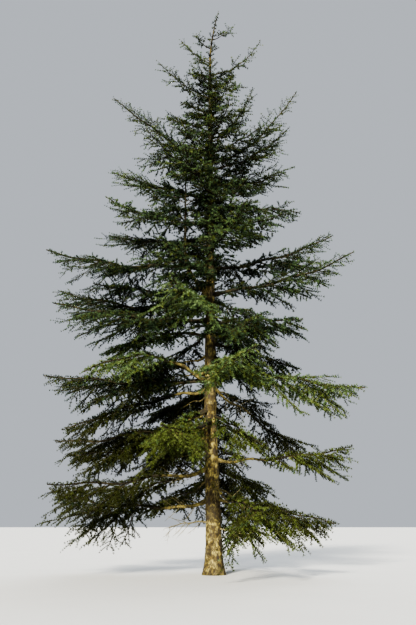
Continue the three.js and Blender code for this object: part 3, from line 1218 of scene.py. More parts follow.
@dataclass(frozen=True)
class NeedleTint:
    """A base colour that turns lighter and darker over the surface, and its gloss with it."""

    detail: float = 5.0
    cloud_span: Span = (0.3, 0.7)
    lightness: Span = (0.72, 1.32)
    rough: Span = (0.5, 0.7)

    def build(self) -> NodeTree:
        """The group that puts out the colour and the roughness."""
        outputs = {"Colour": "Color", "Gloss": "Float"}
        sheet, given, wanted = new_group("needle_tint", {"Base": "Color", "Scale": "Float"}, outputs)
        cloud = sheet.ramp(sheet.noise(sheet.place(), given["Scale"], self.detail), self.cloud_span)
        shade = sheet.ramp(cloud, to=self.lightness)
        sheet.feed(wanted["Colour"], sheet.worked("VectorMath", "SCALE", given["Base"], Scale=shade))
        sheet.feed(wanted["Gloss"], sheet.ramp(cloud, to=self.rough))
        return sheet.tree


@dataclass(frozen=True)
class Floor(Finish):
    """The plain pale floor's finish, with a faint mottle."""

    dark: Colour = (0.58, 0.58, 0.56)
    light: Colour = (0.63, 0.63, 0.61)
    mottle: Noise = (0.4, 4.0)
    rough: float = 0.9


class Palette:
    """The materials of the tree and the groups that they share."""

    def __init__(self) -> None:
        """Builds the shared groups."""
        self.bark_group = BarkPattern().build()
        self.tint_group = NeedleTint().build()
        self.made: dict[str, Material] = {}

    def of(self, finish: Finish) -> Material:
        """The material of a finish, made once.

        Args:
            finish: The finish.

        Returns:
            The material.
        """
        if finish.name not in self.made:
            material = bpy.data.materials.new(finish.name)
            material.use_nodes = True
            material.diffuse_color = (*finish.colour, 1.0)
            sheet = Sheet(material.node_tree)
            ways = {BarkFinish: self.bark, NeedleFinish: self.needles, Floor: self.floor}
            shader = ways[type(finish)](sheet, finish)
            sheet.add("OutputMaterial", Surface=shader.outputs[0])
            self.made[finish.name] = material
        return self.made[finish.name]

    def bark(self, sheet: Sheet, finish: BarkFinish) -> Node:
        """Fills the sheet of a kind of bark or bare wood.

        Args:
            sheet: The sheet.
            finish: Its colours and scales.

        Returns:
            The shader.
        """
        group = {"node_tree": self.bark_group}
        out = sheet.add("Group", group, Scale=finish.scale, Stretch=finish.stretch).outputs
        normal = sheet.add("NewGeometry").outputs["Normal"]
        facing = sheet.add("SeparateXYZ", Vector=normal).outputs["Z"]
        upward = sheet.ramp(facing, finish.moss_facing)
        layers = (
            (sheet.worked("Math", "MULTIPLY", out["Patches"], finish.lichen_share), finish.lichen),
            (sheet.worked("Math", "MULTIPLY", upward, out["Mottle"]), finish.moss),
            (out["Cracks"], finish.crack),
            (sheet.worked("Math", "MULTIPLY", out["Knots"], finish.knot_share), finish.crack),
        )
        shade = tuple(finish.shade * c for c in finish.colour)
        base = sheet.mixed(out["Mottle"], shade, finish.colour)
        for mask, colour in layers:
            base = sheet.mixed(mask, base, colour)
        # Painted shade: the colour darkens between the heights, where the crown shades the wood.
        height = sheet.add("SeparateXYZ", Vector=sheet.place()).outputs["Z"]
        left = sheet.ramp(height, finish.aloft_heights, (1.0, finish.aloft))
        base = sheet.worked("VectorMath", "SCALE", base, Scale=left)
        rough = sheet.ramp(out["Mottle"], to=finish.rough)
        return self.shader(sheet, finish, base, rough, out["Relief"])

    def needles(self, sheet: Sheet, finish: NeedleFinish) -> Node:
        """Fills the sheet of needles of one tone.

        Args:
            sheet: The sheet.
            finish: Their colour and scales.

        Returns:
            The shader.
        """
        group = {"node_tree": self.tint_group}
        tint = sheet.add("Group", group, Base=finish.colour, Scale=finish.scale).outputs
        grain = sheet.noise(sheet.place(), *finish.grain)
        return self.shader(sheet, finish, tint["Colour"], tint["Gloss"], grain)

    def floor(self, sheet: Sheet, finish: Floor) -> Node:
        """Fills the sheet of the floor."""
        base = sheet.mixed(sheet.noise(sheet.place(), *finish.mottle), finish.dark, finish.light)
        return sheet.add("BsdfPrincipled", Base_Color=base, Roughness=finish.rough)

    @staticmethod
    def shader(sheet: Sheet, finish: Finish, base: object, rough: object, relief: object) -> Node:
        """A shader with its relief.

        Args:
            sheet: The sheet.
            finish: The finish, for its gloss and bump.
            base: The colour.
            rough: The roughness.
            relief: The relief's height.

        Returns:
            The shader.
        """
        bump = sheet.add("Bump", Strength=finish.bump, Distance=finish.bump_depth, Height=relief)
        shader = sheet.add(
            "BsdfPrincipled", Base_Color=base, Roughness=rough, Normal=bump.outputs[0]
        )
        shader.inputs["Specular IOR Level"].default_value = finish.gloss
        return shader


class Parts:
    """Arrays of vertices and triangles that are gathered into one piece."""

    def __init__(self) -> None:
        """Starts with none."""
        self.vertices: list[Array] = []
        self.triangles: list[Array] = []
        self.tones: list[Array] = []
        self.count = 0

    def add(self, vertices: Array, triangles: Array, tones: Array | int = 0) -> None:
        """Adds a part.

        Args:
            vertices: Points, one row each.
            triangles: Three places in vertices, one row each.
            tones: Which material each triangle takes.
        """
        self.vertices.append(vertices)
        self.triangles.append(triangles + self.count)
        self.tones.append(np.broadcast_to(tones, (len(triangles),)))
        self.count += len(vertices)

    def add_tubes(self, strands: Strands, look: TwigMesh) -> None:
        """Adds a tapering tube for each twig.

        Args:
            strands: The twigs.
            look: How finely they are meshed.
        """
        points, headings = strands.stations(look.steps)
        radii = strands.radius[:, None] * lerp(1.0, look.taper, np.linspace(0, 1, look.steps + 1))
        self.add(*tube_arrays(points, headings, radii, look.sides))

    def piece(self, name: str, materials: Sequence[Material], smooth: bool = True) -> Object:
        """The parts as one object at the origin.

        Args:
            name: The piece's name.
            materials: Its materials.
            smooth: Whether its shading is smooth.

        Returns:
            The object, linked to the scene.
        """
        triangles = np.concatenate(self.triangles)
        mesh = bpy.data.meshes.new(name)
        mesh.vertices.add(self.count)
        mesh.vertices.foreach_set("co", np.concatenate(self.vertices).astype(np.float32).ravel())
        mesh.loops.add(3 * len(triangles))
        mesh.loops.foreach_set("vertex_index", triangles.astype(np.int32).ravel())
        mesh.polygons.add(len(triangles))
        mesh.polygons.foreach_set("loop_start", np.arange(0, 3 * len(triangles), 3, dtype=np.int32))
        mesh.polygons.foreach_set("material_index", np.concatenate(self.tones).astype(np.int32))
        mesh.update(calc_edges=True)
        mesh.polygons.foreach_set("use_smooth", np.full(len(triangles), smooth))
        for material in materials:
            mesh.materials.append(material)
        made = bpy.data.objects.new(name, mesh)
        bpy.context.scene.collection.objects.link(made)
        return made


@dataclass(frozen=True)
class TwigMesh:
    """How finely the twigs of one level are meshed, and where their needles start."""

    steps: int
    sides: int
    taper: float
    needles_from: float = 0.0
    use: int = 0


BRANCHLET_MESH = TwigMesh(4, 4, 0.35, 0.3, Use.BRANCHLET_NEEDLES)
FINE_MESH = TwigMesh(2, 3, 0.6, 0.08, Use.TWIG_NEEDLES)
LEADER_MESH = TwigMesh(3, 3, 0.5, 0.1, Use.LEADER_NEEDLES)
DRY_MESH = TwigMesh(3, 4, 0.4)


def tube_arrays(points: Array, headings: Array, radii: Array, sides: int) -> tuple[Array, Array]:
    """Tapering tubes through rows of stations, each closed at its root and pointed at its tip.

    Args:
        points: Tubes by stations by three.
        headings: The direction at each station.
        radii: The thickness at each station; the last one is the tip, where it isn't used.
        sides: How many sides each tube has.

    Returns:
        The vertices and the triangles.
    """
    count, stations, _ = points.shape
    rings = stations - 1
    level = level_across(headings.reshape(-1, 3)).reshape(headings.shape)[:, :rings, None]
    upright = np.cross(headings[:, :rings, None], level)
    angle = np.linspace(0, 2 * np.pi, sides, endpoint=False)[:, None]
    spoke = level * np.cos(angle) + upright * np.sin(angle)
    ring = points[:, :rings, None] + spoke * radii[:, :rings, None, None]
    vertices = np.concatenate([ring.reshape(count, -1, 3), points[:, -1:]], axis=1)
    around = np.arange(sides)
    after = (around + 1) % sides
    faces = []
    for row in range(rings - 1):
        low, high = row * sides, (row + 1) * sides
        faces.append(np.stack([low + around, low + after, high + after], axis=1))
        faces.append(np.stack([low + around, high + after, high + around], axis=1))
    last = (rings - 1) * sides
    faces.append(np.stack([last + around, last + after, np.full(sides, rings * sides)], axis=1))
    cap = np.arange(1, sides - 1)
    faces.append(np.stack([np.zeros_like(cap), cap + 1, cap], axis=1))
    shift = np.arange(count)[:, None, None] * vertices.shape[1]
    return vertices.reshape(-1, 3), (np.concatenate(faces) + shift).reshape(-1, 3)


@dataclass(frozen=True)
class NeedleRule:
    """Rosettes of needles along the twigs, larger inside the crown than at its outside."""

    spacing: float = 0.058
    per_rosette: int = 8
    length: float = 0.075
    lengths: Span = (0.75, 1.15)
    width: float = 0.021
    root: float = 0.04
    spreads: Span = (0.45, 1.25)
    spread_step: float = 0.618
    rolls: Span = (-0.8, 0.8)
    templates: int = 12
    template_step: int = 7
    forward: float = 0.75
    leans: Span = (0.5, 0.9)
    tip_lean: float = 0.2
    sways: Span = (-0.55, 0.55)
    tip_sway: float = 0.3
    sizes: Span = (0.8, 1.15)
    outer_sizes: Span = (1.12, 0.76)

    def template(self, number: int) -> tuple[Array, Array]:
        """One rosette of needles about +Z, at life size.

        Args:
            number: Which of the templates.

        Returns:
            Its vertices, three to a needle, and its triangles.
        """
        k = np.arange(self.per_rosette)
        turn = 2 * np.pi * k / self.per_rosette + draw(0, 1, number, k, Use.NEEDLE)
        spread = lerp(*self.spreads, (k * self.spread_step + draw(0, 1, number, 0, Use.NEEDLE + 1)) % 1)
        out = np.sin(spread)
        way = np.stack([out * np.cos(turn), out * np.sin(turn), np.cos(spread)], axis=-1)
        across = unit(np.cross(way, UP))
        roll = draw(*self.rolls, number, k, Use.NEEDLE + 2)[:, None]
        flat = across * np.cos(roll) + np.cross(across, way) * np.sin(roll)
        length = (self.length * draw(*self.lengths, number, k, Use.NEEDLE + 3))[:, None]
        base = way * length * self.root
        wide = flat * self.width / 2
        vertices = np.stack([base - wide, base + wide, way * length], axis=1)
        return vertices.reshape(-1, 3), np.arange(3 * self.per_rosette).reshape(-1, 3)

    def rosettes(self, strands: Strands, look: TwigMesh) -> tuple[Array, Array, Array, Array]:
        """The places of the rosettes along twigs.

        Args:
            strands: The twigs.
            look: Where their needles start, and what their draws are for.

        Returns:
            Centres, frames with the rosette's axis last, sizes, and the twig of each.
        """
        counts = np.round(strands.length * (1 - look.needles_from) / self.spacing)
        counts = np.maximum(1, counts).astype(int)
        which, order = runs(counts)
        at_tip = (order == counts[which] - 1)[:, None]
        s = lerp(look.needles_from, 1.0, (order + 1) / counts[which])
        number = strands.number[which]
        along = strands.headings(which, s)
        up = draw(*self.leans, number, order, look.use)[:, None] * np.where(at_tip, self.tip_lean, 1.0)
        side = draw(*self.sways, number, order, look.use + 1)[:, None]
        side = side * np.where(at_tip, self.tip_sway, 1.0)
        axis = unit(along * self.forward + UP * up + level_across(along) * side)
        first = level_across(axis)
        turn = draw(0, 2 * np.pi, number, order, look.use + 2)[:, None]
        x = first * np.cos(turn) + np.cross(axis, first) * np.sin(turn)
        frame = np.stack([x, np.cross(axis, x), axis], axis=-1)
        centre = strands.points(which, s)
        outer = np.clip(crown_share(centre), 0, 1) ** 3
        size = draw(*self.sizes, number, order, look.use + 3) * lerp(*self.outer_sizes, outer)
        return centre, frame, size, which


@dataclass(frozen=True)
class PaintedLight:
    """How light the needles of some limbs are, counted in tones from the deepest: painted light and
    shade.

    Inner is the middle tone at the trunk, and edge is how much lighter the crown's outside is. The
    darker inside is painted shade, and the lighter outside is partly paler new growth and partly painted
    sunlight.
    """

    inner: float
    edge: float = 1.8


@dataclass(frozen=True)
class ToneRule:
    """How the tones of needles are dealt out by limb, spray and tuft, warm ones by height."""

    limb_spread: float = 0.4
    spray_spread: float = 0.75
    tuft_spread: float = 1.1
    outermost: float = 1.1
    warm_shares: tuple[float, ...] = (0.95, 0.35, 0.2, 0.25, 0.5)
    warm_heights: tuple[float, ...] = (3.9, 6.3, 8.0, 12.5, 15.5)
    warm_run: int = 3

    def tones(self, strands: Strands, which: Array, light: PaintedLight, use: int) -> Array:
        """The tone of each rosette of needles.

        Args:
            strands: The twigs.
            which: The twig of each rosette.
            light: Their painted light and shade, in tones.
            use: What the draws are for.

        Returns:
            A place in the list of tones for each rosette.
        """
        tip = strands.tips()
        outer = np.clip(crown_share(tip), 0, self.outermost)
        limb_share = draw(-self.limb_spread, self.limb_spread, strands.limb + 1, 0, use)
        spray_share = draw(-self.spray_spread, self.spray_spread, strands.number, 0, use + 1)
        tuft = np.arange(len(which))
        tuft_share = draw(-self.tuft_spread, self.tuft_spread, strands.number[which], tuft, use + 3)
        # Painted light and shade: darker tones inside the crown, lighter ones towards its outside.
        score = (light.inner + light.edge * outer + limb_share + spray_share)[which] + tuft_share
        score = np.floor(score).astype(int)
        warm_share = np.interp(tip[:, 2], self.warm_heights, self.warm_shares)[which]
        warm = draw(0, 1, strands.number[which], tuft // self.warm_run, use + 2) < warm_share
        cool_tone = np.clip(score, 0, len(COOL_TONES) - 1)
        warm_tone = len(COOL_TONES) + np.clip(score - 1, 0, len(WARM_TONES) - 1)
        return np.where(warm, warm_tone, cool_tone)


@dataclass
class Crown:
    """All foliage: the twigs and needles of every limb, grown level by level.

    The clear distances keep it inside the solids' box, off the ground and off the trunk.
    """

    limbs: Sequence[Limb]
    low: Array
    high: Array
    palette: Palette
    plates: PlateRule = PlateRule()
    needle_rule: NeedleRule = NeedleRule()
    tone_rule: ToneRule = ToneRule()
    ground_clear: float = 0.25
    trunk_clear: float = 0.07
    margin: float = 0.06
    cuts: int = 6
    cut_share: float = 0.8
    forked_length: float = 0.3
    tone_use: int = 5
    levels: tuple[tuple[Strands, TwigMesh], ...] = ()

    def inside(self, points: Array) -> Array:
        """Whether points are where foliage may grow.

        Args:
            points: The points.

        Returns:
            Yes or no for each.
        """
        within = np.all((points > self.low + self.margin) & (points < self.high - self.margin), axis=-1)
        away = points - TRUNK.axis(points[:, 2])
        clear = np.hypot(away[:, 0], away[:, 1]) > TRUNK.radius(points[:, 2]) + self.trunk_clear
        return within & clear & (points[:, 2] > self.ground_clear)

    def trimmed(self, strands: Strands) -> Strands:
        """The twigs, shortened where they would leave the crown.

        Args:
            strands: The twigs.

        Returns:
            Those that then end inside it.
        """
        for _ in range(self.cuts):
            out = ~self.inside(strands.tips())
            strands.length = np.where(out, strands.length * self.cut_share, strands.length)
        return strands.kept(self.inside(strands.tips()))

    def grow(self) -> None:
        """Grows the branchlets, the twigs on them and the shoots of the leader."""
        branchlets = self.trimmed(joined([self.plates.branchlets(limb) for limb in self.limbs]))
        leader = LeaderRule().shoots()
        top = TopShoots()
        shoots = [top.shoots(limb, self.plates.leaf_start(limb)) for limb in self.limbs]
        long_shoots = leader.kept(leader.length > self.forked_length)
        grown = [BRANCHING.grown(twigs, self.plates) for twigs in (branchlets, long_shoots)]
        twigs = self.trimmed(joined([*grown, *shoots]))
        self.levels = ((branchlets, BRANCHLET_MESH), (twigs, FINE_MESH), (leader, LEADER_MESH))
        LOG.info("%d branchlets, %d twigs", len(branchlets), len(twigs))

    def of(self, chosen: Sequence[int]) -> list[tuple[Strands, TwigMesh]]:
        """The twigs of some limbs, level by level, where there are any."""
        parts = [(strands.kept(np.isin(strands.limb, chosen)), look) for strands, look in self.levels]
        return [(part, look) for part, look in parts if len(part)]

    def wood_of(self, name: str, chosen: Sequence[int]) -> Object:
        """The branchlets and twigs of some limbs, joined.

        Args:
            name: The piece's name.
            chosen: The numbers of the limbs.

        Returns:
            The piece.
        """
        parts = Parts()
        for strands, look in self.of(chosen):
            parts.add_tubes(strands, look)
        return parts.piece(name, [self.palette.of(TWIG_BARK)])

    def needles_of(self, name: str, chosen: Sequence[int], light: PaintedLight) -> Object:
        """The needles of some limbs, joined.

        Args:
            name: The piece's name.
            chosen: The numbers of the limbs.
            light: Their painted light and shade, in tones.

        Returns:
            The piece.
        """
        rule = self.needle_rule
        templates = [rule.template(number) for number in range(rule.templates)]
        parts = Parts()
        for strands, look in self.of(chosen):
            centres, frames, sizes, which = rule.rosettes(strands, look)
            tone = self.tone_rule.tones(strands, which, light, look.use + self.tone_use)
            kind = (np.arange(len(centres)) * rule.template_step + which) % rule.templates
            for number, (points, faces) in enumerate(templates):
                mine = kind == number
                placed = np.einsum("nij,vj->nvi", frames[mine], points) * sizes[mine][:, None, None]
                placed = np.clip(placed + centres[mine][:, None], self.low, self.high)
                shift = np.arange(len(placed))[:, None, None] * len(points)
                triangles = (faces + shift).reshape(-1, 3)
                parts.add(placed.reshape(-1, 3), triangles, np.repeat(tone[mine], len(faces)))
        materials = [self.palette.of(finish) for finish in COOL_TONES + WARM_TONES]
        return parts.piece(name, materials, smooth=False)

    def dress(self, name: str, chosen: Sequence[int], light: PaintedLight, nodes: Sequence[str] = ()) -> None:
        """Puts the needles of some limbs in place for their nodes, and the twigs with them."""
        take_place(self.needles_of(f"needles_{name}", chosen, light), nodes)
        take_place(self.wood_of(f"twigs_{name}", chosen))


def pick_only(wood: Object | None = None) -> None:
    """Leaves edit mode and selects nothing, or one object.

    Args:
        wood: The object.
    """
    if bpy.context.object is not None and bpy.context.object.mode != "OBJECT":
        bpy.ops.object.mode_set(mode="OBJECT")
    bpy.ops.object.select_all(action="DESELECT")
    if wood is not None:
        wood.select_set(True)
        bpy.context.view_layer.objects.active = wood


def raised_column(name: str, sides: int, rings: Sequence[tuple[Vector, float]]) -> Object:
    """A column raised ring by ring from a circle and closed at both ends.

    Args:
        name: The object's name.
        sides: How many sides it has.
        rings: The centre and radius of each ring, upwards.

    Returns:
        The object, selected and in object mode.
    """
    pick_only()
    centre, radius = rings[0]
    bpy.ops.mesh.primitive_circle_add(vertices=sides, radius=radius, fill_type="NGON", location=centre)
    column = bpy.context.object
    column.name = name
    bpy.ops.object.transform_apply(location=True, rotation=True, scale=True)
    bpy.ops.object.mode_set(mode="EDIT")
    bpy.ops.mesh.select_all(action="SELECT")
    for (low, thin), (high, thick) in pairwise(rings):
        bpy.ops.mesh.extrude_region_move(TRANSFORM_OT_translate={"value": high - low})
        bpy.ops.transform.resize(value=(thick / thin,) * 3, center_override=high)
    bpy.ops.mesh.select_all(action="SELECT")
    bpy.ops.mesh.normals_make_consistent(inside=False)
    bpy.ops.object.mode_set(mode="OBJECT")
    return column


@dataclass(frozen=True)
class Relief:
    """One layer of relief on wood: its pattern, its size and its depth in metres."""

    pattern: str
    size: float
    depth: float
    stretch: float = 1.0
    edge_weights: Span = (-1.0, 1.0)
    edge_strength: float = 1.6

    def texture(self) -> bpy.types.Texture:
        """The pattern's texture."""
        texture = bpy.data.textures.new(f"relief_{self.pattern.lower()}", self.pattern)
        texture.noise_scale = self.size
        if self.pattern == "VORONOI":
            texture.weight_1, texture.weight_2 = self.edge_weights
            texture.noise_intensity = self.edge_strength
        return texture

    def press(self, wood: Object, group: str = "") -> None:
        """Presses the relief into a mesh.

        Args:
            wood: The object.
            group: The vertex group that weighs it, if any.
        """
        bpy.ops.object.empty_add(location=(0, 0, 0))
        ruler = bpy.context.object
        ruler.scale = (1, 1, self.stretch)
        bpy.context.view_layer.update()
        pick_only(wood)
        modifier = wood.modifiers.new("relief", "DISPLACE")
        modifier.texture = self.texture()
        modifier.texture_coords = "OBJECT"
        modifier.texture_coords_object = ruler
        modifier.strength = self.depth
        modifier.mid_level = 0.5
        modifier.vertex_group = group
        bpy.ops.object.modifier_apply(modifier=modifier.name)
        bpy.data.objects.remove(ruler)


@dataclass
class Trunk:
    """The trunk, with its flare, lean, bent leader and bark."""

    shape: TrunkShape = TRUNK
    sides: int = 64
    steps: int = 170
    step_power: float = 1.35
    lobe_width: float = 0.42
    lobe_edge: float = 0.012
    foot_height: float = 0.03
    flat_below: float = 0.02
    reliefs: tuple[Relief, ...] = (
        Relief("CLOUDS", 0.55, 0.035),
        Relief("VORONOI", 0.055, 0.022, 2.6),
        Relief("CLOUDS", 0.03, 0.012, 1.8),
    )
    least_relief: float = 0.04
    group: str = "thickness"

    def rings(self) -> list[tuple[Vector, float]]:
        """The centre and radius of each ring, from the ground to the tip."""
        z = self.shape.height * np.linspace(0, 1, self.steps + 1) ** self.step_power
        radii = self.shape.radius(z) + self.shape.flare_radius(z)
        return [(Vector(p), float(r)) for p, r in zip(self.shape.axis(z), radii)]

    def push_lobes(self, trunk: Object) -> None:
        """Draws the root flare out into its lobes.

        Args:
            trunk: The trunk's object.
        """
        out = self.shape.flare * self.shape.flare_lobe_share
        mesh = trunk.data
        for lobe in range(2 * self.shape.flare_lobes):
            angle = math.pi * lobe / self.shape.flare_lobes
            way = Vector((math.cos(angle), math.sin(angle), 0))
            pick_only(trunk)
            mesh.polygons.foreach_set("select", np.zeros(len(mesh.polygons), bool))
            mesh.edges.foreach_set("select", np.zeros(len(mesh.edges), bool))
            co = np.array([v.co for v in mesh.vertices])
            low = co[:, 2] < self.foot_height
            far = co @ np.array(way)
            mesh.vertices.foreach_set("select", low & (far > far[low].max() - self.lobe_edge))
            bpy.ops.object.mode_set(mode="EDIT")
            bpy.ops.mesh.select_mode(type="VERT")
            bpy.ops.transform.translate(
                value=way * (out if lobe % 2 == 0 else -out),
                use_proportional_edit=True,
                proportional_edit_falloff="SMOOTH",
                proportional_size=self.lobe_width,
            )
            bpy.ops.object.mode_set(mode="OBJECT")

    def weigh(self, trunk: Object) -> None:
        """Gives each vertex the share of the relief that its height has room for.

        Args:
            trunk: The trunk's object.
        """
        group = trunk.vertex_groups.new(name=self.group)
        for vertex in trunk.data.vertices:
            share = float(self.shape.radius(vertex.co.z)) / self.shape.foot_radius
            group.add([vertex.index], min(1.0, self.least_relief + share), "REPLACE")

    def build(self, palette: Palette) -> Object:
        """Models the trunk and dresses it.

        Args:
            palette: The materials.

        Returns:
            The piece.
        """
        trunk = raised_column("trunk_bark", self.sides, self.rings())
        self.push_lobes(trunk)
        self.weigh(trunk)
        for relief in self.reliefs:
            relief.press(trunk, self.group)
        for vertex in trunk.data.vertices:
            if vertex.co.z <= self.flat_below:
                vertex.co.z = 0.0
        bpy.ops.object.shade_smooth()
        trunk.data.materials.clear()
        trunk.data.materials.append(palette.of(BARK))
        return trunk


@dataclass
class BoughPattern:
    """A straight length of bough with bark, modelled once and copied along every limb."""

    sides: int = 10
    steps: int = 72
    length: float = 60.0
    reliefs: tuple[Relief, ...] = (
        Relief("CLOUDS", 3.0, 0.22, 2.0),
        Relief("VORONOI", 0.8, 0.12, 2.4),
    )
    knots: int = 9
    first_knot: int = 3
    knot_swell: float = 1.22

    def build(self) -> tuple[Array, Array]:
        """Models the length.

        Returns:
            Its vertices, one radius wide and from 0 to 1 along z, and its triangles.
        """
        z = np.linspace(0, self.length, self.steps + 1)
        at_knot = np.linspace(self.first_knot, self.steps - self.first_knot - 1, self.knots)
        swollen = np.isin(np.arange(len(z)), np.round(at_knot).astype(int))
        rings = [(Vector((0, 0, h)), self.knot_swell if s else 1.0) for h, s in zip(z, swollen)]
        pattern = raised_column("bough_pattern", self.sides, rings)
        for relief in self.reliefs:
            relief.press(pattern)
        bpy.ops.object.mode_set(mode="EDIT")
        bpy.ops.mesh.select_all(action="SELECT")
        bpy.ops.mesh.quads_convert_to_tris()
        bpy.ops.object.mode_set(mode="OBJECT")
        vertices = np.array([v.co for v in pattern.data.vertices])
        vertices[:, 2] = np.clip(vertices[:, 2] / self.length, 0, 1)
        triangles = np.array([p.vertices[:] for p in pattern.data.polygons])
        bpy.data.objects.remove(pattern)
        return vertices, triangles


@dataclass
class Boughs:
    """The wood of the limbs, each a copy of the pattern bent along its limb."""

    pattern: tuple[Array, Array]
    collar: float = 0.7
    collar_length: float = 0.16
    inside: float = 0.5
    mossy_past_bare: float = 0.35
    bare_thickness: float = 0.82

    def copy_along(self, limb: Limb) -> Array:
        """The pattern's vertices along one limb.

        Args:
            limb: The limb.

        Returns:
            The vertices.
        """
        vertices = self.pattern[0]
        trunk_radius = float(TRUNK.radius(limb.foot))
        t = lerp(self.inside * trunk_radius / limb.reach, 1.0, vertices[:, 2])
        heading = limb.headings(t)
        level = level_across(heading)
        out = np.maximum(0, t * limb.reach - trunk_radius)
        radius = limb.radii(t) * (1 + self.collar * np.exp(-out / self.collar_length))
        if limb.bare:
            radius = radius * self.bare_thickness
        roll = float(draw(0, 2 * np.pi, limb.index, 0, Use.ROLL)[0])
        x = vertices[:, 0] * math.cos(roll) - vertices[:, 1] * math.sin(roll)
        y = vertices[:, 0] * math.sin(roll) + vertices[:, 1] * math.cos(roll)
        spoke = level * x[:, None] + np.cross(heading, level) * y[:, None]
        return limb.points(t) + spoke * radius[:, None]

    def build(self, name: str, limbs: Sequence[Limb], barks: Sequence[Material]) -> Object:
        """The wood of some limbs, joined.

        Args:
            name: The piece's name.
            limbs: The limbs.
            barks: The bark of their bare lengths, lighter with lichen, moss and painted sunlight, and
                the bark of the rest.

        Returns:
            The piece.
        """
        vertices, triangles = self.pattern
        along = vertices[:, 2][triangles].mean(axis=1)
        parts = Parts()
        for limb in limbs:
            # The bare length and a little past it take the first bark, whose lightness is partly painted
            # sunlight.
            lit = limb.bare + self.mossy_past_bare if limb.bare else 0.0
            past = (along * limb.reach > lit).astype(int)
            parts.add(self.copy_along(limb), triangles, past * (len(barks) - 1))
        return parts.piece(name, barks)


@dataclass(frozen=True)
class Lamp:
    """A distant light, with its softness and its turn in degrees."""

    name: str
    energy: float
    angle: float
    turn: tuple[float, float, float]
    colour: Colour

    def hang(self) -> None:
        """Adds the light to the scene."""
        lamp = bpy.data.objects.new(self.name, bpy.data.lights.new(self.name, "SUN"))
        lamp.data.energy = self.energy
        lamp.data.angle = math.radians(self.angle)
        lamp.data.color = self.colour
        lamp.rotation_euler = tuple(math.radians(a) for a in self.turn)
        bpy.context.scene.collection.objects.link(lamp)


@dataclass(frozen=True)
class Studio:
    """The camera at the photograph's place, plain soft light and a pale floor."""

    eye: tuple[float, float, float] = (-0.189, -28.577, 1.6)
    pitch: float = 13.622
    lens: float = 50.0
    sensor: float = 36.0
    far: float = 2000.0
    floor: Floor = Floor("pale_floor", (0.6, 0.6, 0.58))
    floor_size: float = 600.0
    sky_colour: Colour = (0.84, 0.89, 0.96)
    sky_strength: float = 0.5
    look: str = "AgX - High Contrast"
    lamps: tuple[Lamp, ...] = (
        Lamp("key", 8.0, 8.0, (66.0, 0.0, -16.0), (1.0, 0.94, 0.82)),
        Lamp("fill", 2.2, 50.0, (52.0, 0.0, 170.0), (0.84, 0.89, 0.96)),
    )

    def build(self, palette: Palette) -> None:
        """Sets up the camera, the lights and the floor.

        Args:
            palette: The materials.
        """
        camera = bpy.data.objects.new("camera", bpy.data.cameras.new("camera"))
        camera.data.lens = self.lens
        camera.data.sensor_width = self.sensor
        camera.data.clip_end = self.far
        camera.location = self.eye
        camera.rotation_euler = (math.radians(90 + self.pitch), 0, 0)
        scene = bpy.context.scene
        scene.collection.objects.link(camera)
        scene.camera = camera
        for lamp in self.lamps:
            lamp.hang()
        scene.world = bpy.data.worlds.new("soft_sky")
        scene.world.use_nodes = True
        sky = scene.world.node_tree.nodes["Background"].inputs
        sky[0].default_value = (*self.sky_colour, 1)
        sky[1].default_value = self.sky_strength
        scene.view_settings.look = self.look
        pick_only()
        bpy.ops.mesh.primitive_plane_add(size=self.floor_size, location=(0, 0, 0))
        floor = bpy.context.object
        floor.name = "floor"
        floor.data.materials.append(palette.of(self.floor))
        floor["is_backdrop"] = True


def take_place(piece: Object, nodes: Sequence[str] = ()) -> None:
    """Sets a finished piece on the tree's body, in the place of CAD nodes.

    Args:
        piece: The piece.
        nodes: The nodes that it stands for.
    """
    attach(piece, "root")
    if nodes:
        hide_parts(*nodes)
    LOG.info("%s: %d triangles", piece.name, sum(len(p.vertices) - 2 for p in piece.data.polygons))


@dataclass(frozen=True)
class Mass:
    """Limbs of one side, by place from the top, whose needles and twigs are joined.

    More are limbs between the solids' own that its foliage also grows on.
    """

    name: str
    side: Side
    first: int
    last: int
    light: PaintedLight
    more: tuple[Limb, ...] = ()
    leader: bool = False

    def dress(self, crown: Crown, limbs: Sequence[Limb]) -> None:
        """Puts the mass's foliage in place.

        Args:
            crown: The foliage.
            limbs: The limbs of the solids.
        """
        mine = [limb for limb in limbs if limb.side is self.side][self.first - 1 : self.last]
        chosen = [limb.index for limb in (*mine, *self.more)] + [LEADER] * self.leader
        crown.dress(self.name, chosen, self.light, [f"foliage_{limb.name}" for limb in mine])


